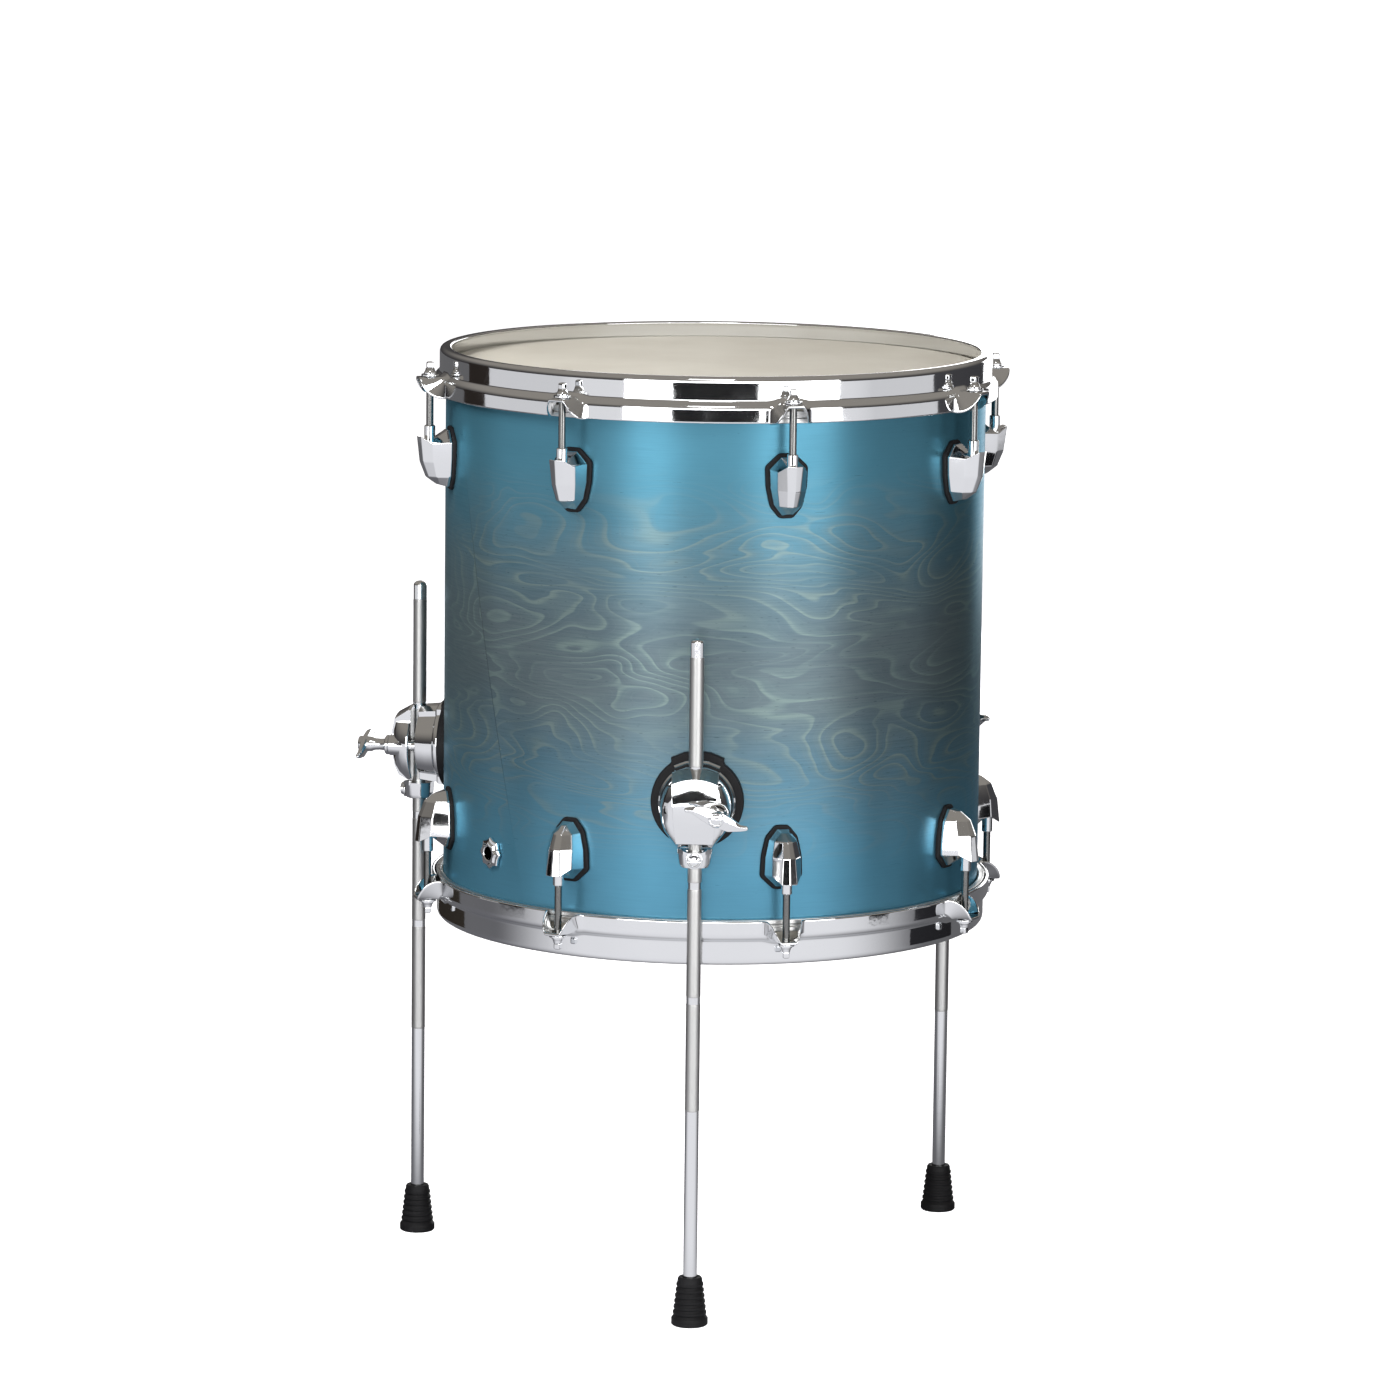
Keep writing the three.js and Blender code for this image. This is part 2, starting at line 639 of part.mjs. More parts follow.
// One leg with its bracket, about the drum's axis at the bracket's height
function legStation(name, angle) {
  const station = new THREE.Group();
  station.position.z = bracketHeight;
  station.rotation.z = angle;
  station.add(piece(`leg_bracket_gasket_${name}`, bracketGasketGeometry(), rubber));
  station.add(piece(`leg_bracket_base_${name}`, bracketBaseGeometry(), chrome));
  station.add(piece(`leg_bracket_jaw_${name}`, jawGeometry(), chrome));
  const bolt = piece(`wing_bolt_${name}`, wingBoltGeometry(), chrome);
  bolt.position.copy(spot(wingOffset, wingSeat, -wingDrop));
  station.add(bolt);
  const leg = new THREE.Group();
  leg.position.copy(spot(0, legCircle, 0));
  leg.add(piece(`leg_${name}`, legGeometry(), chrome));
  leg.add(piece(`leg_foot_${name}`, footGeometry(), rubber));
  leg.add(piece(`memory_lock_${name}`, lockGeometry(), chrome));
  station.add(leg);
  return station;
}

const drum = new THREE.Group();
const shell = piece('shell', shellGeometry(), lacquer);
shell.position.z = bearingHeight;
drum.add(shell);

const batterEnd = drumEnd('batter', 1);
batterEnd.position.z = bearingHeight;
drum.add(batterEnd);

const resonantEnd = drumEnd('resonant', -1);
resonantEnd.position.z = bearingHeight - shellDepth;
resonantEnd.rotation.y = Math.PI;
drum.add(resonantEnd);

const vent = new THREE.Group();
vent.position.z = bearingHeight - ventDrop;
vent.add(piece('vent_grommet', ventGeometry(), chrome));
vent.add(piece('vent_grommet_nut', ventNutGeometry(), chrome));
drum.add(vent);

drum.add(legStation('right', frontLegAngle));
drum.add(legStation('left', -frontLegAngle));
drum.add(legStation('rear', Math.PI));

export default drum;
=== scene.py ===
import json
import math

import bmesh
import bpy
from mathutils import Matrix, Vector


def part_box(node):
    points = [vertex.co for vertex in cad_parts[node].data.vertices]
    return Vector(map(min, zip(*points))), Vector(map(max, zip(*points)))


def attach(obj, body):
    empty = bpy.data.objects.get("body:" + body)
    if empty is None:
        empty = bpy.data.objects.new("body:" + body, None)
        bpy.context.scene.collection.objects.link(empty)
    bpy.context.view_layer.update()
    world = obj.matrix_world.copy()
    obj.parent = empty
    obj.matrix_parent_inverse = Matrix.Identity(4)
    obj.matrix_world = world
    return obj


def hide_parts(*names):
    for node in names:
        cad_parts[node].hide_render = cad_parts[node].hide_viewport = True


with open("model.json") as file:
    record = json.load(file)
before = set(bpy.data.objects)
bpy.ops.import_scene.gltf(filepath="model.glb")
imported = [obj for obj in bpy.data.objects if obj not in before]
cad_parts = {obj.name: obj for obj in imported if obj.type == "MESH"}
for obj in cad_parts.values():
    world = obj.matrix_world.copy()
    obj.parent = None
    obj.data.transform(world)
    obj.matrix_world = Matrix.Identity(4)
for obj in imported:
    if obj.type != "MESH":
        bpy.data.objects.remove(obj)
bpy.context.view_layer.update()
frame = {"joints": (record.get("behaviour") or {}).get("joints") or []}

MM = 0.001
TOUCH_GAP = 0.3

# Places taken from the frame
shell_low, shell_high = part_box("shell")
leg_low, leg_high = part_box("leg_rear")
JOINTS = {joint["name"]: joint for joint in frame["joints"]}
SHELL_RADIUS = shell_high.x / MM
SHELL_DEPTH = (shell_high.z - shell_low.z) / MM
BEARING_HEIGHT = shell_high.z / MM
ROD_CIRCLE = Vector(JOINTS["batter_tension_rod_1_turn"]["pos_m"]).xy.length / MM
LEG_CIRCLE = (leg_low.y + leg_high.y) / 2 / MM
WING_DROP = 1.5
BRACKET_HEIGHT = JOINTS["wing_bolt_rear_turn"]["pos_m"][2] / MM + WING_DROP
LEG_RISE = leg_high.z / MM - BRACKET_HEIGHT
FLOOR_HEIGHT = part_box("leg_foot_rear")[0].z

# Camera, fitted to the shell's sides and rims in the photo
CAMERA_AZIMUTH = math.radians(52.786)
CAMERA_DISTANCE = 4.7639
CAMERA_HEIGHT = 0.5019
CAMERA_YAW = math.radians(-0.1112)
CAMERA_PITCH = math.radians(-9.0458)
CAMERA_ROLL = math.radians(0.6762)
CAMERA_LENS = 163.48

# Shell
SHELL_WALL = 7.2
SHELL_INSIDE = SHELL_RADIUS - SHELL_WALL
CREST_INSET = 1.6
RING_STEPS = 288
WALL_STEPS = 24

# Heads
FILM_THICKNESS = 0.4
COLLAR_GAP = 0.8
COLLAR_ROUND = 2.6
FLESH_WIDTH = 4.6
FLESH_HEIGHT = 9
FLESH_DROP = 12

# Hoops
HOOP_SHEET = 2.3
HOOP_WALL = 206.85
HOOP_DEPTH = 32.8
HOOP_LIP_RISE = 13
HOOP_LIP_INNER = 200
SHOULDER_RISE = -5.5
SHOULDER_STEP = 4
SHOULDER_HEIGHT = 3.4
HOOP_BENDS = [5.2, 1.5, 2]
HOOP_BEND_STEPS = 6
EAR_TOP = -5.6
EAR_BEND = 3.5
EAR_REACH = 8.6
EAR_FLAT = 5
EAR_FLARE = 12.5
FLARE_STEPS = 14
PLAIN_STEPS = 22

# Lugs. The outline's rows are half width and drop, as shares of the lug
LUG_COUNT = 8
LUG_PITCH = 2 * math.pi / LUG_COUNT
LUG_DROP = 45.5
LUG_HALF = 13.5
LUG_LENGTH = 42.5
LUG_GASKET = 2
LUG_GASKET_RIM = 2.5
LUG_FACE = SHELL_RADIUS + LUG_GASKET
LUG_EDGE = 2.5
LUG_OUTLINE = [(0.37, 0), (1, 0.2), (0.96, 0.52), (0.76, 0.82), (0.32, 1)]
# Lug facets: half width, drop below the lug's top and distance out from its back
LUG_CHEEKS = [(10.9, 9.2, 14.6), (10.6, 23.4, 13.7), (8.5, 34.9, 10.9)]
LUG_NOSE = [(5.9, 4.25, 23), (4.6, 23.4, 20.9), (3.5, 34.9, 16.4), (2.7, 40.8, 8.3)]
LUG_VALLEY = (0, 9.5, 14.8)
LUG_RIDGE = 1.7
LUG_SCREW_DROP = 63.35
NUT_RADIUS = 4.1
NUT_TOP = -42
NUT_LENGTH = 14

# Tension rods
ROD_RADIUS = 2.75
ROD_BOTTOM = -73
ROD_STEPS = 48
WASHER_FOOT = -5.3
WASHER_THICKNESS = 1.6
WASHER_TOP = WASHER_FOOT + WASHER_THICKNESS
WASHER_RADIUS = 6.5
FLANGE_RADIUS = 4.7
FLANGE_HEIGHT = 1.6
NECK_RADIUS = 3.3
NECK_HEIGHT = 3.2
KEY_SQUARE = 5
KEY_HEIGHT = 4.4

# Air vent
VENT_HEIGHT = -SHELL_DEPTH + 53.4
VENT_RADIUS = 12
VENT_WAIST = 10.2
VENT_TIPS = 16
VENT_TIP_STEPS = 4
VENT_TUBE = 6.6
VENT_BORE = 5
VENT_HOLE = 6.9
VENT_NUT_RADIUS = 10.3

# Leg brackets. Heights are counted from the middle of the bracket
LEG_ANGLES = {"right": math.radians(50), "left": math.radians(-50), "rear": math.pi}
LEG_RADIUS = 5.25
LEG_BORE = LEG_RADIUS + 0.4
GASKET_FACE = SHELL_RADIUS + 4.8
BRACKET_SCREW_REACH = 19
JAW_BACK = LEG_CIRCLE + 2.5
JAW_DEPTH = 15.5
# Base rings: share of the outline and distance out from its back
BASE_RINGS = [(0.985, 0), (1, 0.4), (1, 2.8), (0.985, 3.9), (0.955, 4.5), (0.945, 5.2), (0.93, 10.5),
              (0.905, 17.5), (0.89, 18.8), (0.865, 19.2)]
# Jaw cheeks: outer half width, height, half width and depth of their front
JAW_CHEEKS = [(20.3, 16.6, 16, 12), (23.4, 10, 15.8, 13.6), (25.2, 3, 15.4, 14.3), (25.4, -3, 15.2, 14.3),
              (24.6, -10, 14.9, 13.8), (22.4, -16.5, 14.4, 12.4), (18.4, -22, 13.6, 9.8),
              (13, -28.4, 12.4, 3.6)]
# Jaw band, top and notch: half width, height and depth
JAW_BAND = [(16.9, 18.7, 12.9), (16.3, 10, 14.9), (15.5, 0, 15.1), (15.1, -9, 14.9), (14.4, -18, 13.4),
            (13.2, -25, 10.4), (12.4, -28.9, 3.2), (12.4, -28.9, 0), (0, 10, 15.5), (0, 0, 15.5),
            (0, -9, 15.4), (0, -18, 14), (0, -25, 10.8)]
JAW_TOP = [(17, 25.8, 0), (17, 25.8, 2.2), (17, 20, 0), (9, 28.2, 0), (9, 28.2, 2.2), (3, 28.8, 0),
           (3, 28.8, 2.2)]
JAW_NOTCH = [(0, 23.7, 13.2), (5.2, 31.4, 3.4), (0, 31.4, -3), (5.2, 37, 3.4), (5.2, 37, 17), (0, 24.6, 17),
             (0, 37, -3)]

# Wing bolt. The blade's rows are share of the span, and then height as a share of it or thickness
WING_OFFSET = 17
WING_SEAT = JAW_BACK + JAW_DEPTH + 0.7
WING_TILT = math.radians(18)
WING_SPAN = 24
WING_STEPS = 28
WING_UPPER = [(0, 0.24), (0.1, 0.24), (0.42, 0.17), (0.75, 0.07), (0.93, 0.1), (0.98, 0.08), (1, 0.04)]
WING_LOWER = [(0, -0.24), (0.12, -0.25), (0.45, -0.25), (0.8, -0.12), (0.95, -0.05), (1, -0.01)]
WING_THICKNESS = [(0, 6), (0.4, 5.2), (0.8, 3.8), (0.96, 3), (1, 1.6)]

# Leg, foot and memory lock
LEG_REACH = 385
LEG_FOOT = -LEG_REACH + 9.3
LEG_PLAIN_TOP = 14
LEG_DOME = 3.4
KNURL_DEPTH = 0.2
KNURL_LENGTH = 80
KNURL_RING = 5
KNURL_STEP = KNURL_LENGTH + KNURL_RING
KNURL_BANDS = 4
KNURL_PITCH = 0.75
KNURL_COLUMNS = 44
FOOT_HEIGHT = 36
FOOT_SOCKET = 27
LOCK_TOP = -31.3
LOCK_SCREW = -37.6


# Materials
class Graph:
    """Short calls for building nodes."""

    def __init__(self, tree):
        self.tree = tree

    def node(self, kind, **values):
        node = self.tree.nodes.new(kind)
        for key, value in values.items():
            setattr(node, key, value)
        return node

    def feed(self, socket, value):
        """Links the output of a node to the socket, or sets its value."""
        if isinstance(value, bpy.types.NodeSocket):
            self.tree.links.new(value, socket)
        else:
            socket.default_value = value

    def result(self, kind, fed, **values):
        """First output of a new node, with its first inputs fed."""
        node = self.node(kind, **values)
        for socket, value in zip(node.inputs, fed):
            self.feed(socket, value)
        return node.outputs[0]

    def math(self, operation, *fed):
        return self.result("ShaderNodeMath", fed, operation=operation)

    def times(self, first, second):
        return self.math("MULTIPLY", first, second)

    def spread(self, value, low, high, to_low=0.0, to_high=1.0):
        """Maps a range of the value smoothly on another range."""
        fed = (value, low, high, to_low, to_high)
        return self.result("ShaderNodeMapRange", fed, interpolation_type="SMOOTHSTEP")

    def noise(self, vector, scale, detail=2.0, roughness=0.5, distortion=0.0):
        """Noise at that scale, which may be one number or one for each axis."""
        if isinstance(scale, tuple):
            vector = self.result("ShaderNodeVectorMath", (vector, scale), operation="MULTIPLY")
            scale = 1.0
        node = self.node("ShaderNodeTexNoise")
        for key, value in (("Vector", vector), ("Scale", scale), ("Detail", detail), ("Roughness", roughness),
                           ("Distortion", distortion)):
            self.feed(node.inputs[key], value)
        return node.outputs["Fac"]

    def mixed(self, share, first, second):
        node = self.node("ShaderNodeMix", data_type="RGBA")
        self.feed(node.inputs["Factor"], share)
        for key, value in (("A", first), ("B", second)):
            socket = next(s for s in node.inputs if s.name == key and s.type == "RGBA")
            self.feed(socket, value if isinstance(value, bpy.types.NodeSocket) else (*value, 1))
        return next(s for s in node.outputs if s.type == "RGBA")

    def bump(self, height, distance, strength=1.0):
        node = self.node("ShaderNodeBump")
        for key, value in (("Height", height), ("Distance", distance), ("Strength", strength)):
            self.feed(node.inputs[key], value)
        return node.outputs[0]

    def split(self, vector):
        node = self.node("ShaderNodeSeparateXYZ")
        self.feed(node.inputs[0], vector)
        return node.outputs

    def place(self, kind="Object"):
        return self.node("ShaderNodeTexCoord").outputs[kind]


class Finish(Graph):
    """A material with its shader and nodes."""

    def __init__(self, name, color, metallic=0.0, roughness=0.5, specular=0.5):
        self.material = bpy.data.materials.new(name)
        self.material.use_nodes = True
        super().__init__(self.material.node_tree)
        self.shader = self.tree.nodes["Principled BSDF"]
        self.set("Base Color", (*color, 1))
        self.set("Metallic", metallic)
        self.set("Roughness", roughness)
        self.set("Specular IOR Level", specular)

    def set(self, key, value):
        self.feed(self.shader.inputs[key], value)


def chrome_material(name, color=(0.86, 0.87, 0.88), roughness=0.045, haze=0.05):
    """Mirror plate with a faint haze of handling and a slight orange peel."""
    finish = Finish(name, color, metallic=1.0)
    place = finish.place()
    smudge = finish.noise(place, 38, detail=4, roughness=0.65)
    finish.set("Roughness", finish.spread(smudge, 0.42, 0.72, roughness, roughness + haze))
    finish.set("Normal", finish.bump(finish.noise(place, 210, detail=1), 0.000015))
    return finish.material


def lacquer_material():
    """Satin burst lacquer over figured veneer: turquoise ends, a smoky middle and pale curling lines."""
    finish = Finish("shell_lacquer", (0.1, 0.4, 0.5), metallic=0.68, roughness=0.38, specular=0.12)
    finish.set("Specular Tint", (0.3, 0.5, 0.6, 1))
    place = finish.node("ShaderNodeUVMap", uv_map="veneer").outputs[0]
    along, height = finish.split(place)[:2]

    # The butt joint of the veneer, and other figure beyond it
    joint = finish.math("ADD", finish.math("MULTIPLY_ADD", height, 0.262, along), 0.0634)
    beyond = finish.result("ShaderNodeCombineXYZ", (0.0, 0.0, finish.math("LESS_THAN", joint, 0.0)))
    figure_place = finish.result("ShaderNodeVectorMath", (place, beyond), operation="ADD")

    # Growth lines: contours of a warped field, drawn out along the shell
    warp = finish.noise(figure_place, (6, 19, 3), detail=1.7, roughness=0.42, distortion=0.5)
    field = finish.math("MULTIPLY_ADD", warp, 20.0, finish.times(height, 26.0))
    saw = finish.math("FRACT", field)
    wide = finish.times(finish.spread(saw, 0.0, 0.08), finish.spread(saw, 0.85, 0.1))
    thin = finish.times(finish.spread(saw, 0.0, 0.1), finish.spread(saw, 0.34, 0.1))
    fine = finish.spread(finish.math("PINGPONG", finish.times(field, 3.3), 0.5), 0.36, 0.5)
    strength = finish.spread(finish.noise(figure_place, (9, 24, 2)), 0.34, 0.62, 0.25, 1.0)
    streak = finish.noise(figure_place, (28, 900, 5), detail=3, roughness=0.6)
    pores = finish.spread(finish.noise(figure_place, (160, 1500, 5), detail=1), 0.69, 0.76)
    cloud = finish.noise(figure_place, (10, 14, 2), detail=3)

    # Burst: how far a point is from the smoky middle band
    middle = -SHELL_DEPTH * MM / 2
    away = finish.math("ABSOLUTE", finish.math("SUBTRACT", height, middle))
    wavy = finish.math("MULTIPLY_ADD", finish.math("SUBTRACT", cloud, 0.5), 0.05, away)
    clear = finish.spread(wavy, 0.012, 0.155)
    figure = finish.spread(away, 0.155, 0.06)
    lower = finish.math("LESS_THAN", height, middle)
    ends = finish.mixed(lower, (0.080, 0.240, 0.330), (0.096, 0.282, 0.405))
    ground = finish.mixed(clear, (0.135, 0.176, 0.192), ends)
    shade = finish.mixed(clear, (0.094, 0.130, 0.152), finish.mixed(0.2, ends, (0.0, 0.0, 0.0)))
    ground = finish.mixed(finish.times(finish.spread(cloud, 0.35, 0.7), 0.5), ground, shade)

    for contour, colour, share in ((wide, (0.165, 0.232, 0.236), 0.45), (fine, (0.160, 0.220, 0.232), 0.22),
                                   (thin, (0.220, 0.295, 0.275), 0.6)):
        shown = finish.times(finish.times(contour, strength), figure)
        ground = finish.mixed(finish.times(shown, share), ground, colour)
    dark = finish.times(finish.spread(streak, 0.35, 0.75), finish.math("MULTIPLY_ADD", figure, 0.2, 0.07))
    ground = finish.mixed(dark, ground, (0.045, 0.086, 0.106))
    ground = finish.mixed(finish.times(finish.times(pores, figure), 0.45), ground, (0.012, 0.022, 0.027))
    seam = finish.times(finish.spread(finish.math("ABSOLUTE", joint), 0.0009, 0.0003), 0.3)
    finish.set("Base Color", finish.mixed(finish.times(seam, figure), ground, (0.010, 0.018, 0.022)))
    finish.set("Roughness", finish.spread(streak, 0.2, 0.8, 0.27, 0.34))
    relief = finish.math("MULTIPLY_ADD", finish.noise(place, (900, 900, 900)), 0.4, streak)
    finish.set("Normal", finish.bump(relief, 0.00004))
    return finish.material


def bare_wood_material():
    """Sanded birch inside the shell and on the bearing edges."""
    finish = Finish("bare_wood", (0.6, 0.45, 0.28), roughness=0.6)
    grain = finish.noise(finish.place(), (18, 18, 420), detail=4, roughness=0.6, distortion=0.3)
    plies = finish.times(finish.math("PINGPONG", finish.times(grain, 3.0), 1.0), 0.2)
    wood = finish.mixed(grain, (0.56, 0.39, 0.22), (0.74, 0.58, 0.38))
    finish.set("Base Color", finish.mixed(plies, wood, (0.42, 0.27, 0.14)))
    finish.set("Normal", finish.bump(grain, 0.0001))
    return finish.material


def film_material():
    """Coated film: warm white with a fine sandy tooth and the faint cloud of the sprayed coat."""
    finish = Finish("coated_film", (0.62, 0.59, 0.52), roughness=0.62, specular=0.35)
    place = finish.place()
    cloud = finish.noise(place, 9, detail=5, roughness=0.6)
    sand = finish.noise(place, 1500)
    coat = finish.mixed(finish.spread(cloud, 0.3, 0.7), (0.575, 0.545, 0.475), (0.655, 0.63, 0.56))
    tooth = finish.times(finish.spread(sand, 0.55, 0.75), 0.25)
    finish.set("Base Color", finish.mixed(tooth, coat, (0.75, 0.73, 0.67)))
    finish.set("Roughness", finish.spread(cloud, 0.3, 0.7, 0.52, 0.68))
    finish.set("Normal", finish.bump(sand, 0.00012, 0.6))
    return finish.material


def aluminium_material():
    """Drawn aluminium of the flesh hoops, with fine lines along the ring."""
    finish = Finish("flesh_aluminium", (0.72, 0.72, 0.71), metallic=1.0, roughness=0.32)
    lines = finish.noise(finish.place(), (30, 30, 2600))
    finish.set("Roughness", finish.spread(lines, 0.3, 0.7, 0.26, 0.42))
    finish.set("Normal", finish.bump(lines, 0.00004))
    return finish.material


def rubber_material():
    """Black moulded rubber with a little dust and a fine grit."""
    finish = Finish("black_rubber", (0.012, 0.012, 0.014), roughness=0.62, specular=0.25)
    place = finish.place()
    dust = finish.noise(place, 70, detail=5, roughness=0.7)
    tone = finish.mixed(finish.spread(dust, 0.45, 0.8), (0.006, 0.006, 0.007), (0.018, 0.018, 0.020))
    finish.set("Base Color", tone)
    finish.set("Roughness", finish.spread(dust, 0.3, 0.8, 0.5, 0.75))
    finish.set("Normal", finish.bump(finish.noise(place, 1900), 0.00006))
    return finish.material


CHROME = chrome_material("mirror_chrome")
# Tension rod steel: its dark base colour is painted shade that stands in for the thread grooves, which are
# not modelled
ROD_STEEL_PAINTED_SHADE = chrome_material("rod_steel_painted_groove_shade", color=(0.20, 0.20, 0.195), roughness=0.16, haze=0.1)
KNURL_CHROME = chrome_material("knurled_chrome", color=(0.54, 0.54, 0.53), roughness=0.36, haze=0.08)
LACQUER = lacquer_material()
BARE_WOOD = bare_wood_material()
FILM = film_material()
ALUMINIUM = aluminium_material()
RUBBER = rubber_material()


# Mesh building. A shape is a list of millimetre points and a list of faces
def linked(name, data):
    thing = bpy.data.objects.new(name, data)
    bpy.context.scene.collection.objects.link(thing)
    return thing


def evaluated(thing, name):
    """A new mesh with the object's modifiers applied."""
    mesh = bpy.data.meshes.new_from_object(thing.evaluated_get(bpy.context.evaluated_depsgraph_get()))
    mesh.name = name
    return mesh


def raw_mesh(name, shape, bevel=0.0, bevel_over=20, segments=2):
    """The shape as a closed mesh in metres, with the edges over that angle rounded."""
    points, faces = shape
    bm = bmesh.new()
    corners = [bm.verts.new(Vector(point) * MM) for point in points]
    for face in faces:
        bm.faces.new([corners[i] for i in face])
    bmesh.ops.remove_doubles(bm, verts=bm.verts, dist=1e-7)
    bmesh.ops.recalc_face_normals(bm, faces=bm.faces)
    if bevel:
        limit = math.radians(bevel_over)
        edges = [e for e in bm.edges if e.is_manifold and e.calc_face_angle(0) > limit]
        bmesh.ops.bevel(bm, geom=edges, offset=bevel * MM, segments=segments, profile=0.5, affect="EDGES",
                        clamp_overlap=True)
    mesh = bpy.data.meshes.new(name)
    bm.to_mesh(mesh)
    bm.free()
    return mesh


def combined(mesh, operation, *tools):
    """The mesh joined with or cut by other meshes. Operation is UNION or DIFFERENCE."""
    for tool_mesh in tools:
        body, tool = linked("combined_body", mesh), linked("combined_tool", tool_mesh)
        step = body.modifiers.new("step", "BOOLEAN")
        step.operation = operation
        step.solver = "EXACT"
        step.object = tool
        mesh = evaluated(body, mesh.name)
        for thing in (body, tool):
            bpy.data.objects.remove(thing)
    return mesh


def cut(mesh, *shapes):
    return combined(mesh, "DIFFERENCE", *[raw_mesh("cutter", shape) for shape in shapes])


def finished(mesh, material, sharp=32):
    """The mesh in that material, shaded so that flat faces stay flat up to their rounded edges."""
    mesh.materials.clear()
    mesh.materials.append(material)
    mesh.shade_smooth()
    mesh.set_sharp_from_angle(angle=math.radians(sharp))
    holder = linked("shaded", mesh)
    holder.modifiers.new("step", "WEIGHTED_NORMAL").keep_sharp = True
    result = evaluated(holder, mesh.name)
    bpy.data.objects.remove(holder)
    return result


def solid(name, shape, material, sharp=32, **edges):
    """The shape as a finished mesh. Edges are raw_mesh's values for rounding."""
    return finished(raw_mesh(name, shape, **edges), material, sharp)


def placed(name, mesh, matrix, body, slot, *nodes):
    """A piece with that mesh, riding on a body and standing for those nodes."""
    piece = linked(name, mesh)
    piece.matrix_world = matrix
    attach(piece, body)
    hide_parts(*nodes)


def spot(across, out, up):
    return (across, -out, up)


def moved(shape, matrix):
    points, faces = shape
    return [tuple(matrix @ Vector(point)) for point in points], faces


def standing_out(shape, across=0, out=0, up=0):
    """Lays an upright shape down, so that its top points outwards from that place."""
    return moved(shape, Matrix.Translation(spot(across, out, up)) @ Matrix.Rotation(math.pi / 2, 4, "X"))


def turns_round(steps):
    return [2 * math.pi * i / steps for i in range(steps)]


def circle_ring(radius, height, steps):
    return [(radius * math.cos(t), radius * math.sin(t), height) for t in turns_round(steps)]


def oval_ring(half_width, half_height, out, up, steps=40):
    """An upright ring, round or oval, that faces outwards."""
    return [spot(half_width * math.cos(t), out, up + half_height * math.sin(t)) for t in turns_round(steps)]


def ring_faces(rings, size, wrap=False):
    """Faces between closed rings of points that were listed one after another."""
    faces = []
    for i in range(rings if wrap else rings - 1):
        base, above = i * size, (i + 1) % rings * size
        for j in range(size):
            k = (j + 1) % size
            faces.append((base + j, base + k, above + k, above + j))
    return faces


def loft(sections):
    """A closed shape through rings with equally many points, flat at both ends."""
    size = len(sections[0])
    points = [point for section in sections for point in section]
    last = (len(sections) - 1) * size
    ends = [tuple(reversed(range(size))), tuple(last + i for i in range(size))]
    return points, ring_faces(len(sections), size) + ends


def tube_loft(sections):
    """A closed shape through rings, where the last ring meets the first."""
    points = [point for section in sections for point in section]
    return points, ring_faces(len(sections), len(sections[0]), wrap=True)


def turned(profile, steps):
    """A turned solid. Rows are radius and height, from the axis to the axis, or a loop clear of it."""
    on_axis = profile[0][0] == 0
    rows = profile[1:-1] if on_axis else profile
    rings = [circle_ring(radius, height, steps) for radius, height in rows]
    if not on_axis:
        return tube_loft(rings)
    points = [point for ring in rings for point in ring]
    faces = ring_faces(len(rings), steps)
    last = (len(rings) - 1) * steps
    first_tip, last_tip = len(points), len(points) + 1
    points += [(0, 0, profile[0][1]), (0, 0, profile[-1][1])]
    for i in range(steps):
        k = (i + 1) % steps
        faces += [(first_tip, k, i), (last_tip, last + i, last + k)]
    return points, faces


def round_bar(radius, low, high, steps=48):
    return turned([(0, low), (radius, low), (radius, high), (0, high)], steps)


def level_bar(radius, inner, outer, across, up, steps=40):
    return standing_out(round_bar(radius, inner, outer, steps), across, 0, up)


def oval_bar(half_width, half_height, up, inner, outer):
    return loft([oval_ring(half_width, half_height, out, up) for out in (inner, outer)])


def leg_cutter(low, high, out=0):
    """The leg's bore between two heights, that far out."""
    return moved(round_bar(LEG_BORE, low, high), Matrix.Translation(spot(0, out, 0)))


def hull(points):
    """The convex shape round those points."""
    bm = bmesh.new()
    for point in points:
        bm.verts.new(point)
    found = bmesh.ops.convex_hull(bm, input=bm.verts)
    spare = {v for v in found["geom_interior"] + found["geom_unused"] if isinstance(v, bmesh.types.BMVert)}
    bmesh.ops.delete(bm, geom=list(spare), context="VERTS")
    bmesh.ops.dissolve_limit(bm, angle_limit=math.radians(0.5), verts=bm.verts, edges=bm.edges)
    bm.verts.ensure_lookup_table()
    bm.verts.index_update()
    shape = [tuple(v.co) for v in bm.verts], [[v.index for v in face.verts] for face in bm.faces]
    bm.free()
    return shape


def eased(corners, radii, steps=4):
    """A line of two-number points whose inner corners are rounded, each by its own radius."""
    line = [tuple(corners[0])]
    for i, radius in enumerate(radii, start=1):
        before, corner, after = (Vector(corners[i + k]) for k in (-1, 0, 1))
        reach = min(radius, (corner - before).length * 0.49, (after - corner).length * 0.49)
        start = corner + (before - corner).normalized() * reach
        end = corner + (after - corner).normalized() * reach
        for k in range(steps + 1):
            t = k / steps
            line.append(tuple((1 - t) ** 2 * start + 2 * t * (1 - t) * corner + t ** 2 * end))
    line.append(tuple(corners[-1]))
    return line


def eased_loop(corners, radius, steps=4):
    """A closed outline with all its corners rounded."""
    around = [corners[-1], *corners, corners[0]]
    return eased(around, [radius] * len(corners), steps)[1:-1]


def drawn_in(outline, inset):
    """The outline drawn in towards its inside. It is listed anticlockwise."""
    drawn = []
    for i, point in enumerate(outline):
        before, here, after = Vector(outline[i - 1]), Vector(point), Vector(outline[(i + 1) % len(outline)])
        first, second = (here - before).normalized(), (after - here).normalized()
        normal = Vector((-(first + second).y, (first + second).x)).normalized()
        lean = max(0.4, normal.dot(Vector((-first.y, first.x))))
        drawn.append(tuple(here + normal * inset / lean))
    return drawn


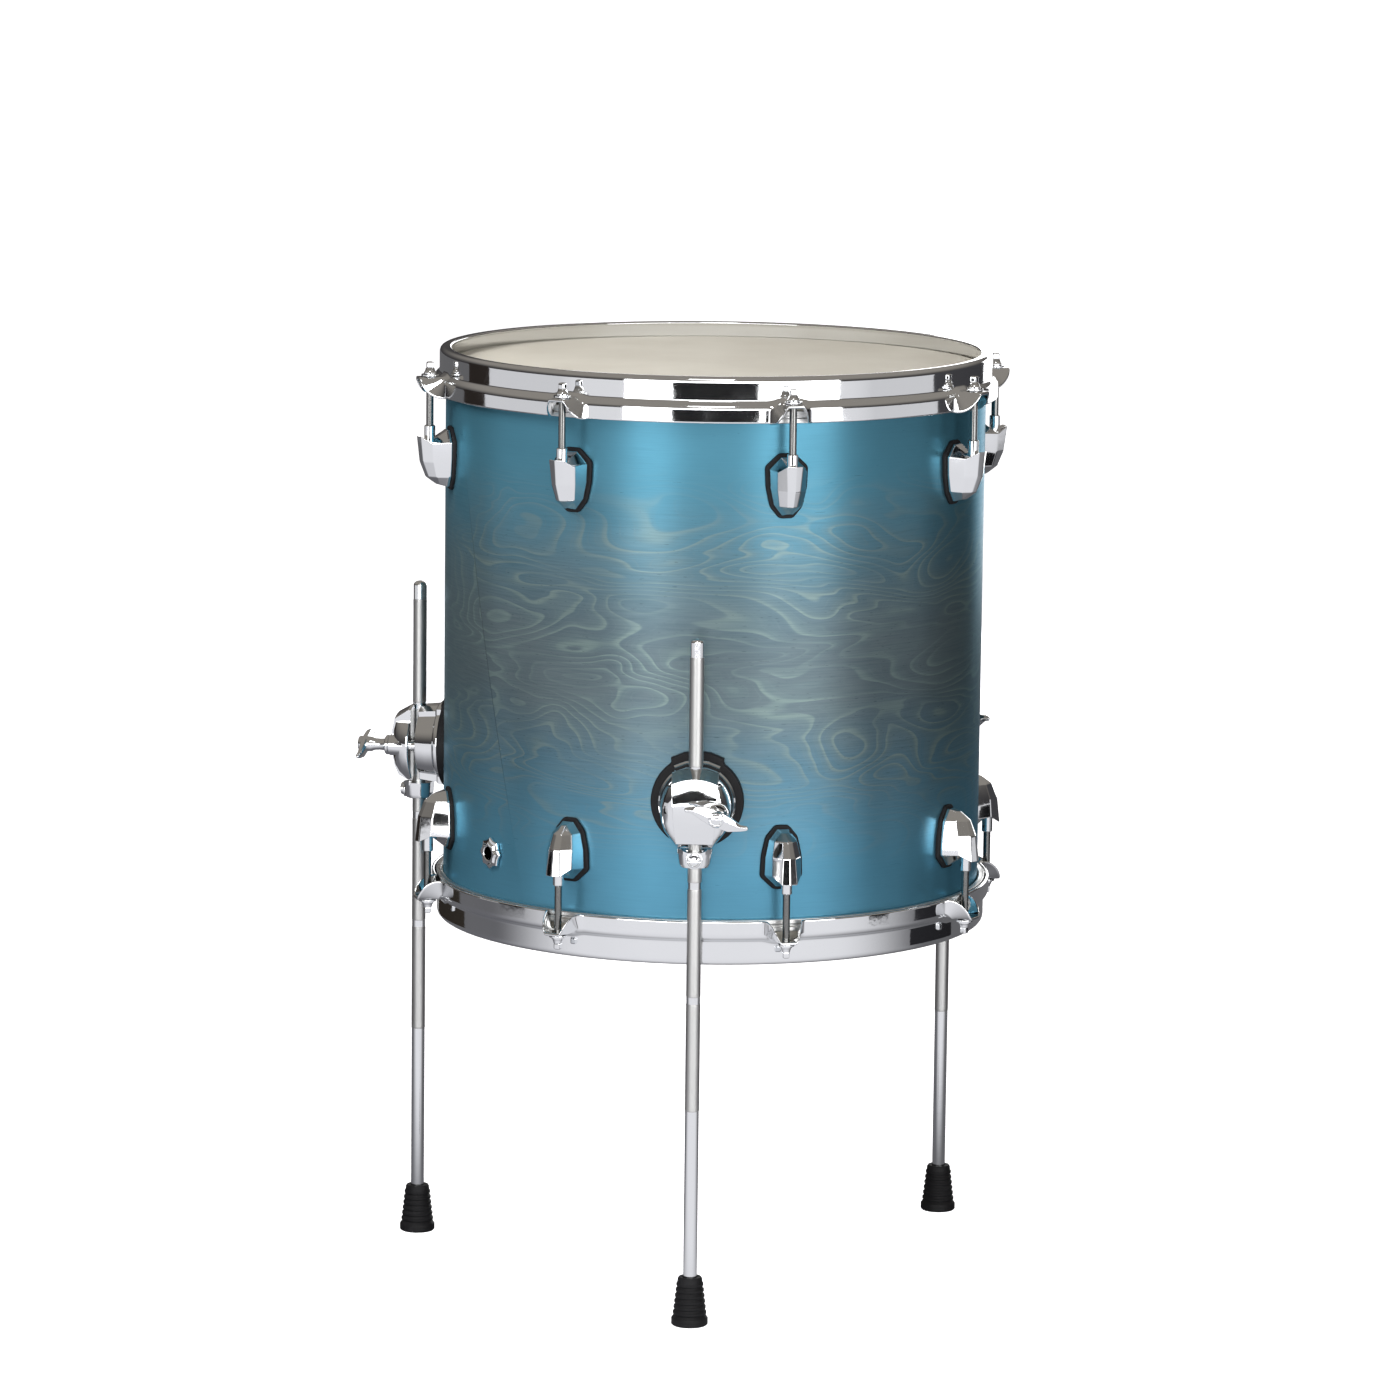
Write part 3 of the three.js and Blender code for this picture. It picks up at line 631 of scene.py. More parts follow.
def shell_slab(outline, centre_up, front, rounding, steps=4):
    """A pad on the shell's curve with that outline across and up, flat in front with a rounded rim."""
    def seat(share):
        ring = []
        for across, up in outline:
            x, z = across * share, centre_up + (up - centre_up) * share
            ring.append(spot(x, math.sqrt((SHELL_RADIUS + TOUCH_GAP) ** 2 - x * x), z))
        return ring

    rings = [seat(share) for share in (0.15, 0.4, 0.6, 0.8, 1)]
    for k in range(steps + 1):
        turn = math.pi / 2 * k / steps
        out = front - rounding * (1 - math.sin(turn))
        rings.append([spot(x, out, z) for x, z in drawn_in(outline, rounding * (1 - math.cos(turn)))])
    return loft(rings)


def edge_reach(outline, turn):
    """How far a closed outline reaches from its middle in one direction."""
    way = Vector((math.cos(turn), math.sin(turn)))
    best = 0.0
    for i, point in enumerate(outline):
        start, side = Vector(point), Vector(outline[(i + 1) % len(outline)]) - Vector(point)
        cross = way.x * side.y - way.y * side.x
        if abs(cross) < 1e-9:
            continue
        along = (start.x * side.y - start.y * side.x) / cross
        share = (start.x * way.y - start.y * way.x) / cross
        if along > 0 and -1e-6 <= share <= 1 + 1e-6:
            best = max(best, along)
    return best


def disc_and_tab(radius, half, shoulder, top, foot_half, bottom, steps=120):
    """The outline round a disc and a tab that reaches past it above and below, anticlockwise."""
    right = [(foot_half, -bottom), (half, shoulder), (half / 2, (shoulder + 3 * top) / 4)]
    tab = [*right, (0, top), *[(-x, z) for x, z in reversed(right)]]
    turns = turns_round(steps) + [math.atan2(z, x) % (2 * math.pi) for x, z in tab]
    outline = []
    for turn in sorted(set(round(t, 5) for t in turns)):
        reach = max(radius, edge_reach(tab, turn))
        outline.append((reach * math.cos(turn), reach * math.sin(turn)))
    return outline


# Where pieces stand in the CAD's frame, in metres
def lifted(height):
    return Matrix.Translation((0, 0, height * MM))


def end_place(end):
    if end == "batter":
        return lifted(BEARING_HEIGHT)
    return lifted(BEARING_HEIGHT - SHELL_DEPTH) @ Matrix.Rotation(math.pi, 4, "Y")


def lug_place(end, number):
    side = 1 if end == "batter" else -1
    return end_place(end) @ Matrix.Rotation(side * (number - 0.5) * LUG_PITCH, 4, "Z")


def set_out(distance):
    return Matrix.Translation((0, -distance * MM, 0))


# Shell
def shell_profile():
    """Radius and height round the wall's section, with both bearing edges."""
    edge = [(SHELL_WALL, SHELL_WALL - CREST_INSET), (CREST_INSET + 0.5, 0.35), (CREST_INSET, 0),
            (CREST_INSET - 0.6, 0.1), (0.45, 0.6), (0.12, 1.15), (0, 1.9)]
    top = [(SHELL_RADIUS - inset, -drop) for inset, drop in edge]
    bottom = [(radius, -SHELL_DEPTH - height) for radius, height in reversed(top)]

    def wall(radius, start, end):
        step = (end - start) / WALL_STEPS
        return [(radius, start + step * k) for k in range(1, WALL_STEPS)]

    return [*top, *wall(SHELL_RADIUS, top[-1][1], bottom[0][1]), *bottom,
            *wall(SHELL_INSIDE, bottom[-1][1], top[0][1])]


def map_veneer(mesh):
    """Lays a map over the shell: metres round from the vent, and metres of height."""
    layer = mesh.uv_layers.new(name="veneer")
    for face in mesh.polygons:
        middle = math.atan2(face.center.x, -face.center.y)
        for loop in face.loop_indices:
            corner = mesh.vertices[mesh.loops[loop].vertex_index].co
            turn = math.atan2(corner.x, -corner.y)
            turn -= 2 * math.pi * round((turn - middle) / (2 * math.pi))
            layer.data[loop].uv = (turn * SHELL_RADIUS * MM, corner.z)


def build_shell():
    """The wooden tube, lacquered outside and bare inside and on its edges."""
    mesh = raw_mesh("shell_wood", turned(shell_profile(), RING_STEPS))
    map_veneer(mesh)
    hole = level_bar(VENT_HOLE, SHELL_RADIUS - 15, SHELL_RADIUS + 5, 0, VENT_HEIGHT, steps=48)
    mesh = finished(cut(mesh, hole), BARE_WOOD, sharp=40)
    mesh.materials.append(LACQUER)
    lacquered = (SHELL_RADIUS - 0.4) * MM
    for face in mesh.polygons:
        outward = Vector((face.center.x, face.center.y, 0)).normalized().dot(face.normal)
        face.material_index = int(face.center.xy.length > lacquered and outward > 0.3)
    placed("shell_wood", mesh, lifted(BEARING_HEIGHT), "root", "shell_lacquer", "shell")


# Heads, in the frame of their own end of the shell
def film_mesh():
    """The film with its collar folded down over the bearing edge."""
    top, inside = TOUCH_GAP + FILM_THICKNESS, SHELL_RADIUS + COLLAR_GAP
    outside, foot = inside + FILM_THICKNESS, -FLESH_DROP - FLESH_HEIGHT + 0.6
    over = eased([(0, top), (outside, top), (outside, foot)], [COLLAR_ROUND], steps=8)
    under = eased([(inside, foot), (inside, TOUCH_GAP), (0, TOUCH_GAP)], [COLLAR_ROUND], steps=8)
    rings = [(SHELL_RADIUS * share, top) for share in (0.25, 0.5, 0.75, 0.9, 0.96)]
    return solid("head_film", turned([over[0], *rings, *over[1:], *under], RING_STEPS), FILM, sharp=40)


def flesh_hoop_mesh():
    """Channel that grips the film's rim, with a rolled groove round it."""
    inner, outer = SHELL_RADIUS + COLLAR_GAP + FILM_THICKNESS + 0.05, SHELL_RADIUS + COLLAR_GAP + FLESH_WIDTH
    top, foot = -FLESH_DROP, -FLESH_DROP - FLESH_HEIGHT
    groove = (top + foot) / 2
    section = [(inner, foot), (outer, foot), (outer, groove - 1.2), (outer - 0.6, groove - 0.6),
               (outer - 0.6, groove + 0.6), (outer, groove + 1.2), (outer, top), (inner, top)]
    return solid("flesh_hoop", turned(eased_loop(section, 0.7, steps=3), RING_STEPS), ALUMINIUM, sharp=40)


# Hoops
def hoop_line(flare):
    """Middle of the hoop's sheet as radius and height. Flare 0 is the plain skirt, 1 the ear."""
    def mix(plain, ear):
        return plain + (ear - plain) * flare

    lip, ear_level = HOOP_LIP_RISE - HOOP_SHEET / 2, EAR_TOP - HOOP_SHEET / 2
    bend_top = mix(SHOULDER_RISE, ear_level + EAR_BEND)
    bend_out = HOOP_WALL + mix(SHOULDER_STEP, EAR_BEND)
    bend_foot = mix(SHOULDER_RISE - SHOULDER_HEIGHT, ear_level)
    skirt = HOOP_DEPTH - (HOOP_LIP_RISE - SHOULDER_RISE) - SHOULDER_HEIGHT
    reach = mix(skirt, ROD_CIRCLE + EAR_REACH - HOOP_WALL - EAR_BEND)
    slope = (flare - 1) * math.pi / 2
    corners = [(HOOP_LIP_INNER, lip - 0.5), (HOOP_WALL, lip), (HOOP_WALL, bend_top), (bend_out, bend_foot),
               (bend_out + reach * math.cos(slope), bend_foot + reach * math.sin(slope))]
    return with_supports(eased(corners, HOOP_BENDS, steps=HOOP_BEND_STEPS), HOOP_BEND_STEPS + 1)


def with_supports(line, arc_points):
    """The line with two more points in each straight run, so that its bends shade apart from the runs."""
    supported = [line[0]]
    for i in range(1, len(line)):
        if (i - 1) % arc_points == 0:
            start, end = Vector(line[i - 1]), Vector(line[i])
            inset = min(0.5, (end - start).length * 0.3)
            along = (end - start).normalized() * inset
            supported += [tuple(start + along), tuple(end - along)]
        supported.append(line[i])
    return supported


def sheet_ring(line):
    """The outline of the hoop's sheet about a middle line, with round ends."""
    half = HOOP_SHEET / 2
    left, right = [], []
    for i, point in enumerate(line):
        before, after = Vector(line[max(i - 1, 0)]), Vector(line[min(i + 1, len(line) - 1)])
        along = (after - before).normalized()
        normal = Vector((-along.y, along.x)) * half
        left.append(tuple(Vector(point) + normal))
        right.append(tuple(Vector(point) - normal))
    ends = []
    for here, back in ((-1, -2), (0, 1)):
        along = (Vector(line[here]) - Vector(line[back])).normalized()
        normal = Vector((-along.y, along.x))
        turns = [math.pi * k / 6 for k in range(1, 6)]
        ends.append([tuple(Vector(line[here]) + (along * math.sin(t) * 0.8 + normal * math.cos(t)) * half)
                     for t in turns])
    return [*left, *ends[0], *reversed(right), *ends[1]]


def hoop_stations():
    """Angles round the hoop with how much of an ear the sheet is there."""
    half_arc = LUG_PITCH / 2 * ROD_CIRCLE
    plain_start = EAR_FLAT + EAR_FLARE
    arcs = [0, EAR_FLAT / 2, EAR_FLAT]
    arcs += [EAR_FLAT + EAR_FLARE * k / FLARE_STEPS for k in range(1, FLARE_STEPS)]
    arcs += [plain_start + (half_arc - plain_start) * k / PLAIN_STEPS for k in range(PLAIN_STEPS)]
    half = []
    for arc in arcs:
        share = min(max((arc - EAR_FLAT) / EAR_FLARE, 0), 1)
        half.append((arc / ROD_CIRCLE, 1 - share * share * (3 - 2 * share)))
    stations = []
    for i in range(LUG_COUNT):
        centre = (i + 0.5) * LUG_PITCH
        stations += [(centre - turn, flare) for turn, flare in reversed(half[1:])]
        stations += [(centre + turn, flare) for turn, flare in half]
        stations.append((centre + LUG_PITCH / 2, 0))
    return stations


def hoop_mesh():
    """The pressed hoop with a hole in each ear."""
    rings = []
    for turn, flare in hoop_stations():
        ring = sheet_ring(hoop_line(flare))
        rings.append([(radius * math.sin(turn), -radius * math.cos(turn), height) for radius, height in ring])
    bar = round_bar(ROD_RADIUS + 0.5, EAR_TOP - 2 * HOOP_SHEET, EAR_TOP + HOOP_SHEET, 24)
    points, faces = [], []
    for i in range(LUG_COUNT):
        turn = Matrix.Rotation((i + 0.5) * LUG_PITCH, 4, "Z") @ Matrix.Translation((0, -ROD_CIRCLE, 0))
        hole_points, hole_faces = moved(bar, turn)
        faces += [[len(points) + k for k in face] for face in hole_faces]
        points += hole_points
    return finished(cut(raw_mesh("hoop", tube_loft(rings)), (points, faces)), CHROME, sharp=50)


# Lugs
def lug_gasket_outline():
    """The lug's outline with the gasket's rim round it, anticlockwise."""
    rim = LUG_GASKET_RIM
    tall = LUG_LENGTH + 2 * rim
    right = [(x * (LUG_HALF + rim), -LUG_DROP + rim - tall * down) for x, down in LUG_OUTLINE]
    return eased_loop([*reversed(right), *[(-x, z) for x, z in right]], 2.2)


def lug_body_shape():
    """Facets of the casting: a raised nose with a cup for the swivel nut at its top."""
    def at(row):
        across, down, out = row
        return spot(across, LUG_FACE + out, -LUG_DROP - down)

    outline = [(x * LUG_HALF, down * LUG_LENGTH) for x, down in LUG_OUTLINE]
    rows = [(x, down, out) for out in (0, LUG_EDGE) for x, down in outline] + LUG_CHEEKS + LUG_NOSE
    count = len(rows)
    points = [at(row) for row in rows] + [at((-row[0], *row[1:])) for row in rows] + [at(LUG_VALLEY)]
    foot, rim, cheek, nose, valley = 0, 5, 10, 13, 2 * count
    faces = [(foot + i, foot + i + 1, rim + i + 1, rim + i) for i in range(4)]
    faces += [(rim + 1, rim + 2, cheek + 1, cheek), (rim + 2, rim + 3, cheek + 2, cheek + 1),
              (rim + 3, rim + 4, nose + 3, cheek + 2), (cheek, cheek + 1, nose + 1, nose),
              (cheek + 1, cheek + 2, nose + 2, nose + 1), (cheek + 2, nose + 3, nose + 2),
              (valley, rim, rim + 1, cheek), (valley, cheek, nose)]
    faces += [[i if i == valley else i + count for i in reversed(face)] for face in faces]

    # A ridge runs down the middle of the nose
    front = []
    for i, (_, down, out) in enumerate(LUG_NOSE):
        front.append((nose + i, len(points), nose + i + count))
        points.append(at((0, down, out + LUG_RIDGE)))
    for upper, lower in zip(front, front[1:]):
        faces += [(upper[k], lower[k], lower[k + 1], upper[k + 1]) for k in (0, 1)]
    faces += [(valley, front[0][k], front[0][k + 1]) for k in (0, 1)]
    faces.append((rim + 4, rim + 4 + count, *reversed(front[-1])))
    faces.append((rim + 4, foot + 4, foot + 4 + count, rim + 4 + count))
    faces += [(valley, rim + count, rim), (foot, foot + count, rim + count, rim)]
    faces.append([*range(foot, foot + 5), *reversed(range(foot + count, foot + count + 5))])
    return points, faces


def slotted(mesh, width, depth, out, up):
    """The mesh with a straight slot cut across its end, that far out."""
    half = 20
    box = hull([(x, y, z) for x in (-half, half) for y in (-width / 2, width / 2) for z in (-depth, depth)])
    return cut(mesh, standing_out(box, 0, out, up))


def inside_screw(name, radius, head_radius, head_height, top, up, slot):
    """A pan-head screw from inside the shell outwards, with a slot of that width and depth in its head."""
    foot = SHELL_INSIDE - 0.5
    head, dome = foot - head_height, head_height * 0.35
    profile = [(0, head), (head_radius * 0.6, head), (head_radius * 0.9, head + dome * 0.5),
               (head_radius, head + dome), (head_radius, foot), (radius, foot), (radius, top), (0, top)]
    screw = raw_mesh(name, standing_out(turned(profile, 32), up=up))
    return finished(slotted(screw, *slot, head, up), CHROME)


def lug_meshes():
    """Mesh and material slot of each part of a lug."""
    gasket = shell_slab(lug_gasket_outline(), -LUG_DROP - LUG_LENGTH / 2, LUG_FACE, 0.8)
    inner, nut_foot = ROD_RADIUS + 0.1, NUT_TOP - NUT_LENGTH
    nut = turned([(inner, nut_foot), (NUT_RADIUS, nut_foot), (NUT_RADIUS, NUT_TOP - 0.6),
                  (NUT_RADIUS - 0.5, NUT_TOP), (ROD_RADIUS + 0.5, NUT_TOP), (inner, NUT_TOP - 0.5)], 40)
    nut = moved(nut, Matrix.Translation((0, -ROD_CIRCLE, 0)))
    body = solid("lug_body", lug_body_shape(), CHROME, sharp=60, bevel=0.7, bevel_over=12, segments=3)
    screw = inside_screw("lug_screw", 2, 4.2, 2.6, LUG_FACE + 1, -LUG_SCREW_DROP, (1.1, 1.2))
    return {"gasket": (solid("lug_gasket", gasket, RUBBER, sharp=50), "rubber"), "body": (body, "chrome"),
            "nut": (solid("swivel_nut", nut, CHROME), "chrome"), "screw": (screw, "chrome")}


# Tension rods, along their own axis
def square_ring(half, round_share, height):
    """A square with rounded corners at that height, with as many points as a rod's ring."""
    ring = []
    for turn in turns_round(ROD_STEPS):
        c, s = math.cos(turn), math.sin(turn)
        square = half / max(abs(c), abs(s))
        reach = square * (1 - round_share) + min(square, half * 1.2) * round_share
        ring.append((reach * c, reach * s, height))
    return ring


def rod_meshes():
    """A tension rod with its flange, neck and square key end, and its washer."""
    inner = ROD_RADIUS + 0.3
    washer = eased_loop([(inner, WASHER_FOOT), (WASHER_RADIUS, WASHER_FOOT), (WASHER_RADIUS, WASHER_TOP),
                         (inner, WASHER_TOP)], 0.35, 2)
    neck = WASHER_TOP + FLANGE_HEIGHT
    key = neck + NECK_HEIGHT
    circles = [(ROD_RADIUS - 0.6, ROD_BOTTOM), (ROD_RADIUS, ROD_BOTTOM + 0.8), (ROD_RADIUS, WASHER_TOP),
               (FLANGE_RADIUS - 0.3, WASHER_TOP), (FLANGE_RADIUS, WASHER_TOP + 0.3),
               (FLANGE_RADIUS, neck - 0.5), (FLANGE_RADIUS - 0.5, neck), (3.9, neck + 0.7),
               (3.5, neck + 1.6), (NECK_RADIUS, key - 0.6)]
    rings = [circle_ring(radius, height, ROD_STEPS) for radius, height in circles]
    for inset, rise in ((0.15, 0.0), (0, 0.5), (0, KEY_HEIGHT - 1.1), (0.25, KEY_HEIGHT - 0.5),
                        (0.8, KEY_HEIGHT - 0.12), (1.5, KEY_HEIGHT)):
        rings.append(square_ring(KEY_SQUARE / 2 - inset, 0.75, key + rise))
    rod = solid("tension_rod", loft(rings), ROD_STEEL_PAINTED_SHADE, sharp=28)
    rod.materials.append(CHROME)
    for face in rod.polygons:
        face.material_index = int(face.center.z / MM > WASHER_FOOT)
    return {"washer": solid("rod_washer", turned(washer, 64), CHROME), "rod": rod}


def build_end(end, film, flesh, hoop, lugs, rods):
    place = end_place(end)
    placed(f"{end}_head_film", film, place, "root", "head_film", f"{end}_head")
    placed(f"{end}_flesh_hoop", flesh, place, "root", "head_film", f"{end}_head")
    placed(f"{end}_hoop_sheet", hoop, place, "root", "chrome", f"{end}_hoop")
    for number in range(1, LUG_COUNT + 1):
        station = lug_place(end, number)
        for part, (mesh, slot) in lugs.items():
            placed(f"{end}_lug_{part}_{number}", mesh, station, "root", slot, f"{end}_lug_{number}")
        rod = f"{end}_tension_rod_{number}"
        for part, mesh in rods.items():
            placed(f"{end}_tension_{part}_{number}", mesh, station @ set_out(ROD_CIRCLE), rod, "chrome", rod)


# Air vent
def star_ring(share, out):
    """The grommet's star-shaped outline, scaled by a share."""
    ring = []
    for i in range(VENT_TIPS):
        corners = []
        for k in (i, i + 1):
            radius = (VENT_WAIST if k % 2 else VENT_RADIUS) * share
            turn = 2 * math.pi * k / VENT_TIPS
            corners.append(Vector((radius * math.cos(turn), radius * math.sin(turn))))
        ring += [corners[0].lerp(corners[1], j / VENT_TIP_STEPS) for j in range(VENT_TIP_STEPS)]
    return [spot(point.x, out, VENT_HEIGHT + point.y) for point in ring]


def vent_ring(radius, out, steps=VENT_TIPS * VENT_TIP_STEPS):
    return oval_ring(radius, radius, out, VENT_HEIGHT, steps)


def build_vent():
    """A star-shaped grommet through the shell, and the nut that holds it inside."""
    seat = SHELL_RADIUS + TOUCH_GAP
    end = SHELL_INSIDE - 4.8
    stars = [(0.97, 0), (1, 0.3), (1, 1.7), (0.96, 2.4), (0.78, 2.6), (0.74, 3.2), (0.68, 4.1), (0.6, 4.2)]
    rings = [vent_ring(VENT_TUBE, end), vent_ring(VENT_TUBE, seat)]
    rings += [star_ring(share, seat + proud) for share, proud in stars]
    rings += [vent_ring(VENT_BORE + 0.5, seat + 4.2), vent_ring(VENT_BORE, seat + 3.7),
              vent_ring(VENT_BORE, end)]
    grommet = solid("vent_grommet", tube_loft(rings), CHROME, sharp=20)
    placed("vent_grommet_star", grommet, lifted(BEARING_HEIGHT), "root", "chrome", "vent_grommet")
    nut_top, nut_foot = SHELL_INSIDE - 0.7, SHELL_INSIDE - 4.2
    plate = loft([vent_ring(VENT_NUT_RADIUS, out, 6) for out in (nut_foot, nut_top)])
    bore = loft([vent_ring(VENT_TUBE + 0.3, out, 48) for out in (nut_foot - 3, nut_top + 3)])
    nut = finished(cut(raw_mesh("vent_nut", plate, bevel=0.5), bore), CHROME)
    placed("vent_lock_nut", nut, lifted(BEARING_HEIGHT), "root", "chrome", "vent_grommet_nut")


# Leg brackets, at the bracket's own height and with the leg's axis LEG_CIRCLE out
def bracket_gasket_mesh():
    outline = disc_and_tab(34, 19.5, 32, 37.5, 12, 32)
    return solid("bracket_gasket", shell_slab(outline, 0, GASKET_FACE, 1.3), RUBBER, sharp=50)


def bracket_base_mesh():
    """The cast half that is screwed to the shell, with bores for the leg and the wing bolt."""
    outline = disc_and_tab(28.5, 17.2, 27.5, 32, 12.5, 31)
    rings = []
    for share, out in BASE_RINGS:
        rings.append([spot(x * share, GASKET_FACE + TOUCH_GAP + out, z * share) for x, z in outline])
    wing_bore = level_bar(4.3, LEG_CIRCLE - 16, LEG_CIRCLE + 4, WING_OFFSET, -WING_DROP)
    base = cut(raw_mesh("bracket_base", loft(rings)), leg_cutter(-60, 60, LEG_CIRCLE), wing_bore)
    return finished(base, CHROME, sharp=35)


def jaw_hull(rows):
    """The convex shape round rows of half width, height and distance out of the jaw's back."""
    return hull([spot(side * x, JAW_BACK + out, z) for x, z, out in rows for side in (1, -1)])


def jaw_mesh():
    """The clamping half: rounded cheeks, a proud band in the middle and a boss for the wing bolt."""
    cheek_rows = []
    for outer, height, middle, depth in JAW_CHEEKS:
        cheek_rows += [(outer - 0.6, height, 0), (outer, height, 0.8), (outer, height, 2.2)]
        for k in range(1, 5):
            turn = math.pi / 2 * k / 4
            reach = middle + (outer - middle) * math.cos(turn)
            cheek_rows.append((reach, height, 2.2 + (depth - 2.2) * math.sin(turn)))
    arc = [(16.4 * share, 22.8 - 3.7 * share * share, 12.9) for share in (k / 4 for k in range(5))]
    band = jaw_hull([*JAW_BAND, *JAW_TOP, *arc])
    boss = level_bar(8, JAW_BACK + 4, JAW_BACK + 15.9, WING_OFFSET, -WING_DROP)
    jaw = combined(raw_mesh("jaw", jaw_hull(cheek_rows), bevel=0.35, bevel_over=30), "UNION",
                   raw_mesh("jaw_band", band, bevel=0.5, bevel_over=14, segments=3),
                   raw_mesh("jaw_boss", boss, bevel=0.4))
    wing_bore = level_bar(4.4, JAW_BACK - 3, JAW_BACK + 20, WING_OFFSET, -WING_DROP)
    dish = oval_bar(11, 5, -30.4, JAW_BACK - 4, JAW_BACK + 22)
    jaw = cut(jaw, leg_cutter(-60, 60, LEG_CIRCLE), wing_bore, jaw_hull(JAW_NOTCH), dish)
    return finished(jaw, CHROME, sharp=24)


def wing_section(share):
    """Upper and lower edge and thickness of the right wing at that share of its span."""
    def between(rows):
        for (start, low), (end, high) in zip(rows, rows[1:]):
            if start <= share <= end:
                return low + (high - low) * (share - start) / (end - start)
        return rows[-1][1]

    return between(WING_UPPER) * WING_SPAN, between(WING_LOWER) * WING_SPAN, between(WING_THICKNESS)


def wing_blade():
    """Both wings as one bar through the hub, with a ridge along the front and back."""
    rings = []
    for i in range(-WING_STEPS, WING_STEPS + 1):
        upper, lower, thickness = wing_section(abs(i) / WING_STEPS)
        if i < 0:
            upper, lower = -lower, -upper
        ridge = (upper + lower) / 2 + (upper - lower) * 0.12 * (1 if i > 0 else -1)
        edge = thickness * 0.3
        side = [(upper, edge), (ridge, thickness / 2), (lower, edge), (lower, -edge), (ridge, -thickness / 2),
                (upper, -edge)]
        rings.append([spot(WING_SPAN * i / WING_STEPS, out, z) for z, out in side])
    return loft(rings)


def wing_bolt_mesh():
    """Wing bolt along its own axis, with the jaw's seat at distance 0."""
    stem = [(0, -33.6), (3.2, -33.6), (4, -32.8), (4, 0), (6.9, 0), (7.6, 0.6), (7.6, 2.1), (6.8, 3),
            (5.2, 3.2), (4.5, 4.4), (4.3, 8), (4.6, 11.8), (5.6, 14), (5.8, 16), (5.8, 23.4), (5.2, 24.3),
            (4.6, 24.5), (4.4, 24.1), (4.2, 24), (3.4, 24.5), (0, 25)]
    blade = moved(wing_blade(), Matrix.Rotation(WING_TILT, 4, "Y") @ Matrix.Translation(spot(0, 19.5, 0)))
    bolt = combined(raw_mesh("wing_bolt", standing_out(turned(stem, 48))), "UNION",
                    raw_mesh("wing_blade", blade, bevel=0.45, bevel_over=16, segments=3))
    return finished(bolt, CHROME, sharp=34)


# Legs, feet and memory locks, about the leg's own axis
def leg_mesh():
    """Leg rod: a domed end, diamond knurl in four lengths, then plain to the foot."""
    core = LEG_RADIUS - KNURL_DEPTH
    knurl_end = LEG_RISE - LEG_PLAIN_TOP
    knurl_start = knurl_end - KNURL_BANDS * KNURL_STEP + KNURL_RING
    count = round(KNURL_LENGTH / KNURL_PITCH)
    rings = [circle_ring(core - 0.5, LEG_FOOT, KNURL_COLUMNS),
             circle_ring(core, LEG_FOOT + 0.6, KNURL_COLUMNS)]
    for band in range(KNURL_BANDS):
        low = knurl_start + band * KNURL_STEP
        rings.append(circle_ring(core, low - 0.05, KNURL_COLUMNS))
        for k in range(count + 1):
            height = low + KNURL_LENGTH * k / count
            ring = []
            for i, turn in enumerate(turns_round(KNURL_COLUMNS)):
                raised = (i + k) % 2 == 0 and 0 < k < count
                radius = LEG_RADIUS if raised else core
                ring.append((radius * math.cos(turn), radius * math.sin(turn), height))
            rings.append(ring)
    for k in range(9):
        turn = math.pi / 2 * k / 9
        rise = LEG_RISE - LEG_DOME * (1 - math.sin(turn))
        rings.append(circle_ring(core * math.cos(turn), rise, KNURL_COLUMNS))
    mesh = solid("leg_rod", loft(rings), CHROME, sharp=20)
    mesh.materials.append(KNURL_CHROME)
    for face in mesh.polygons:
        height = face.center.z / MM
        along = (height - knurl_start) % KNURL_STEP
        face.material_index = int(knurl_start < height < knurl_end and along < KNURL_LENGTH)
    return mesh


def foot_mesh():
    """Rubber foot with ribs round it and a socket for the leg."""
    sole, top = -LEG_REACH, -LEG_REACH + FOOT_HEIGHT
    bore, socket = LEG_RADIUS + 0.2, top - FOOT_SOCKET
    outside = [(12.6, sole), (13.5, sole + 0.9), (13.5, sole + 5.2), (12.9, sole + 6)]
    for k in range(6):
        foot = sole + 8 + k * 4.2
        radius = 12.6 - 3.4 * (foot - sole - 6) / 30
        outside += [(radius - 0.7, foot), (radius, foot + 0.7), (radius, foot + 2.2),
                    (radius - 0.7, foot + 2.9)]
    profile = [(0, sole + 1.5), (8, sole + 1.5), (8.6, sole), *outside, (9, top - 1.2), (8.2, top),
               (bore, top), (bore, socket), (0, socket)]
    return solid("leg_foot", turned(profile, 64), RUBBER, sharp=40)


def lock_mesh():
    """Memory lock: a tapered block with raised front corners and a dished top."""
    top = LOCK_TOP
    rings = []
    for half, deep, height in ((9.2, 7.6, top - 12.5), (10.4, 8.7, top - 12), (11.6, 9.8, top - 9.4),
                               (12.6, 10.4, top - 1), (12.8, 10.5, top)):
        corners = [(half, -deep * 0.45), (half, deep * 0.45), (half * 0.6, deep), (-half * 0.6, deep),
                   (-half, deep * 0.45), (-half, -deep * 0.45), (-half * 0.6, -deep), (half * 0.6, -deep)]
        rings.append([spot(x, out, height) for x, out in eased_loop(corners, 2.2, 3)])
    side = ((3.6, top - 2), (3.6, top + 1.6), (5, top + 1.9), (5, top - 2))
    crown = hull([spot(x, out, z) for x in (-12.6, 12.6) for out, z in side] +
                 [spot(x, 10.4, z) for x in (-8, 8) for z in (top - 2, top + 1.6)])
    lock = combined(raw_mesh("memory_lock", loft(rings)), "UNION", raw_mesh("lock_crown", crown, bevel=0.4),
                    raw_mesh("lock_boss", level_bar(6.3, 2, 11.6, 0, LOCK_SCREW), bevel=0.5))
    lock = cut(lock, leg_cutter(top - 30, top + 20), oval_bar(10.6, 4.6, top + 3.6, 2.5, 16))
    return finished(lock, CHROME, sharp=30)


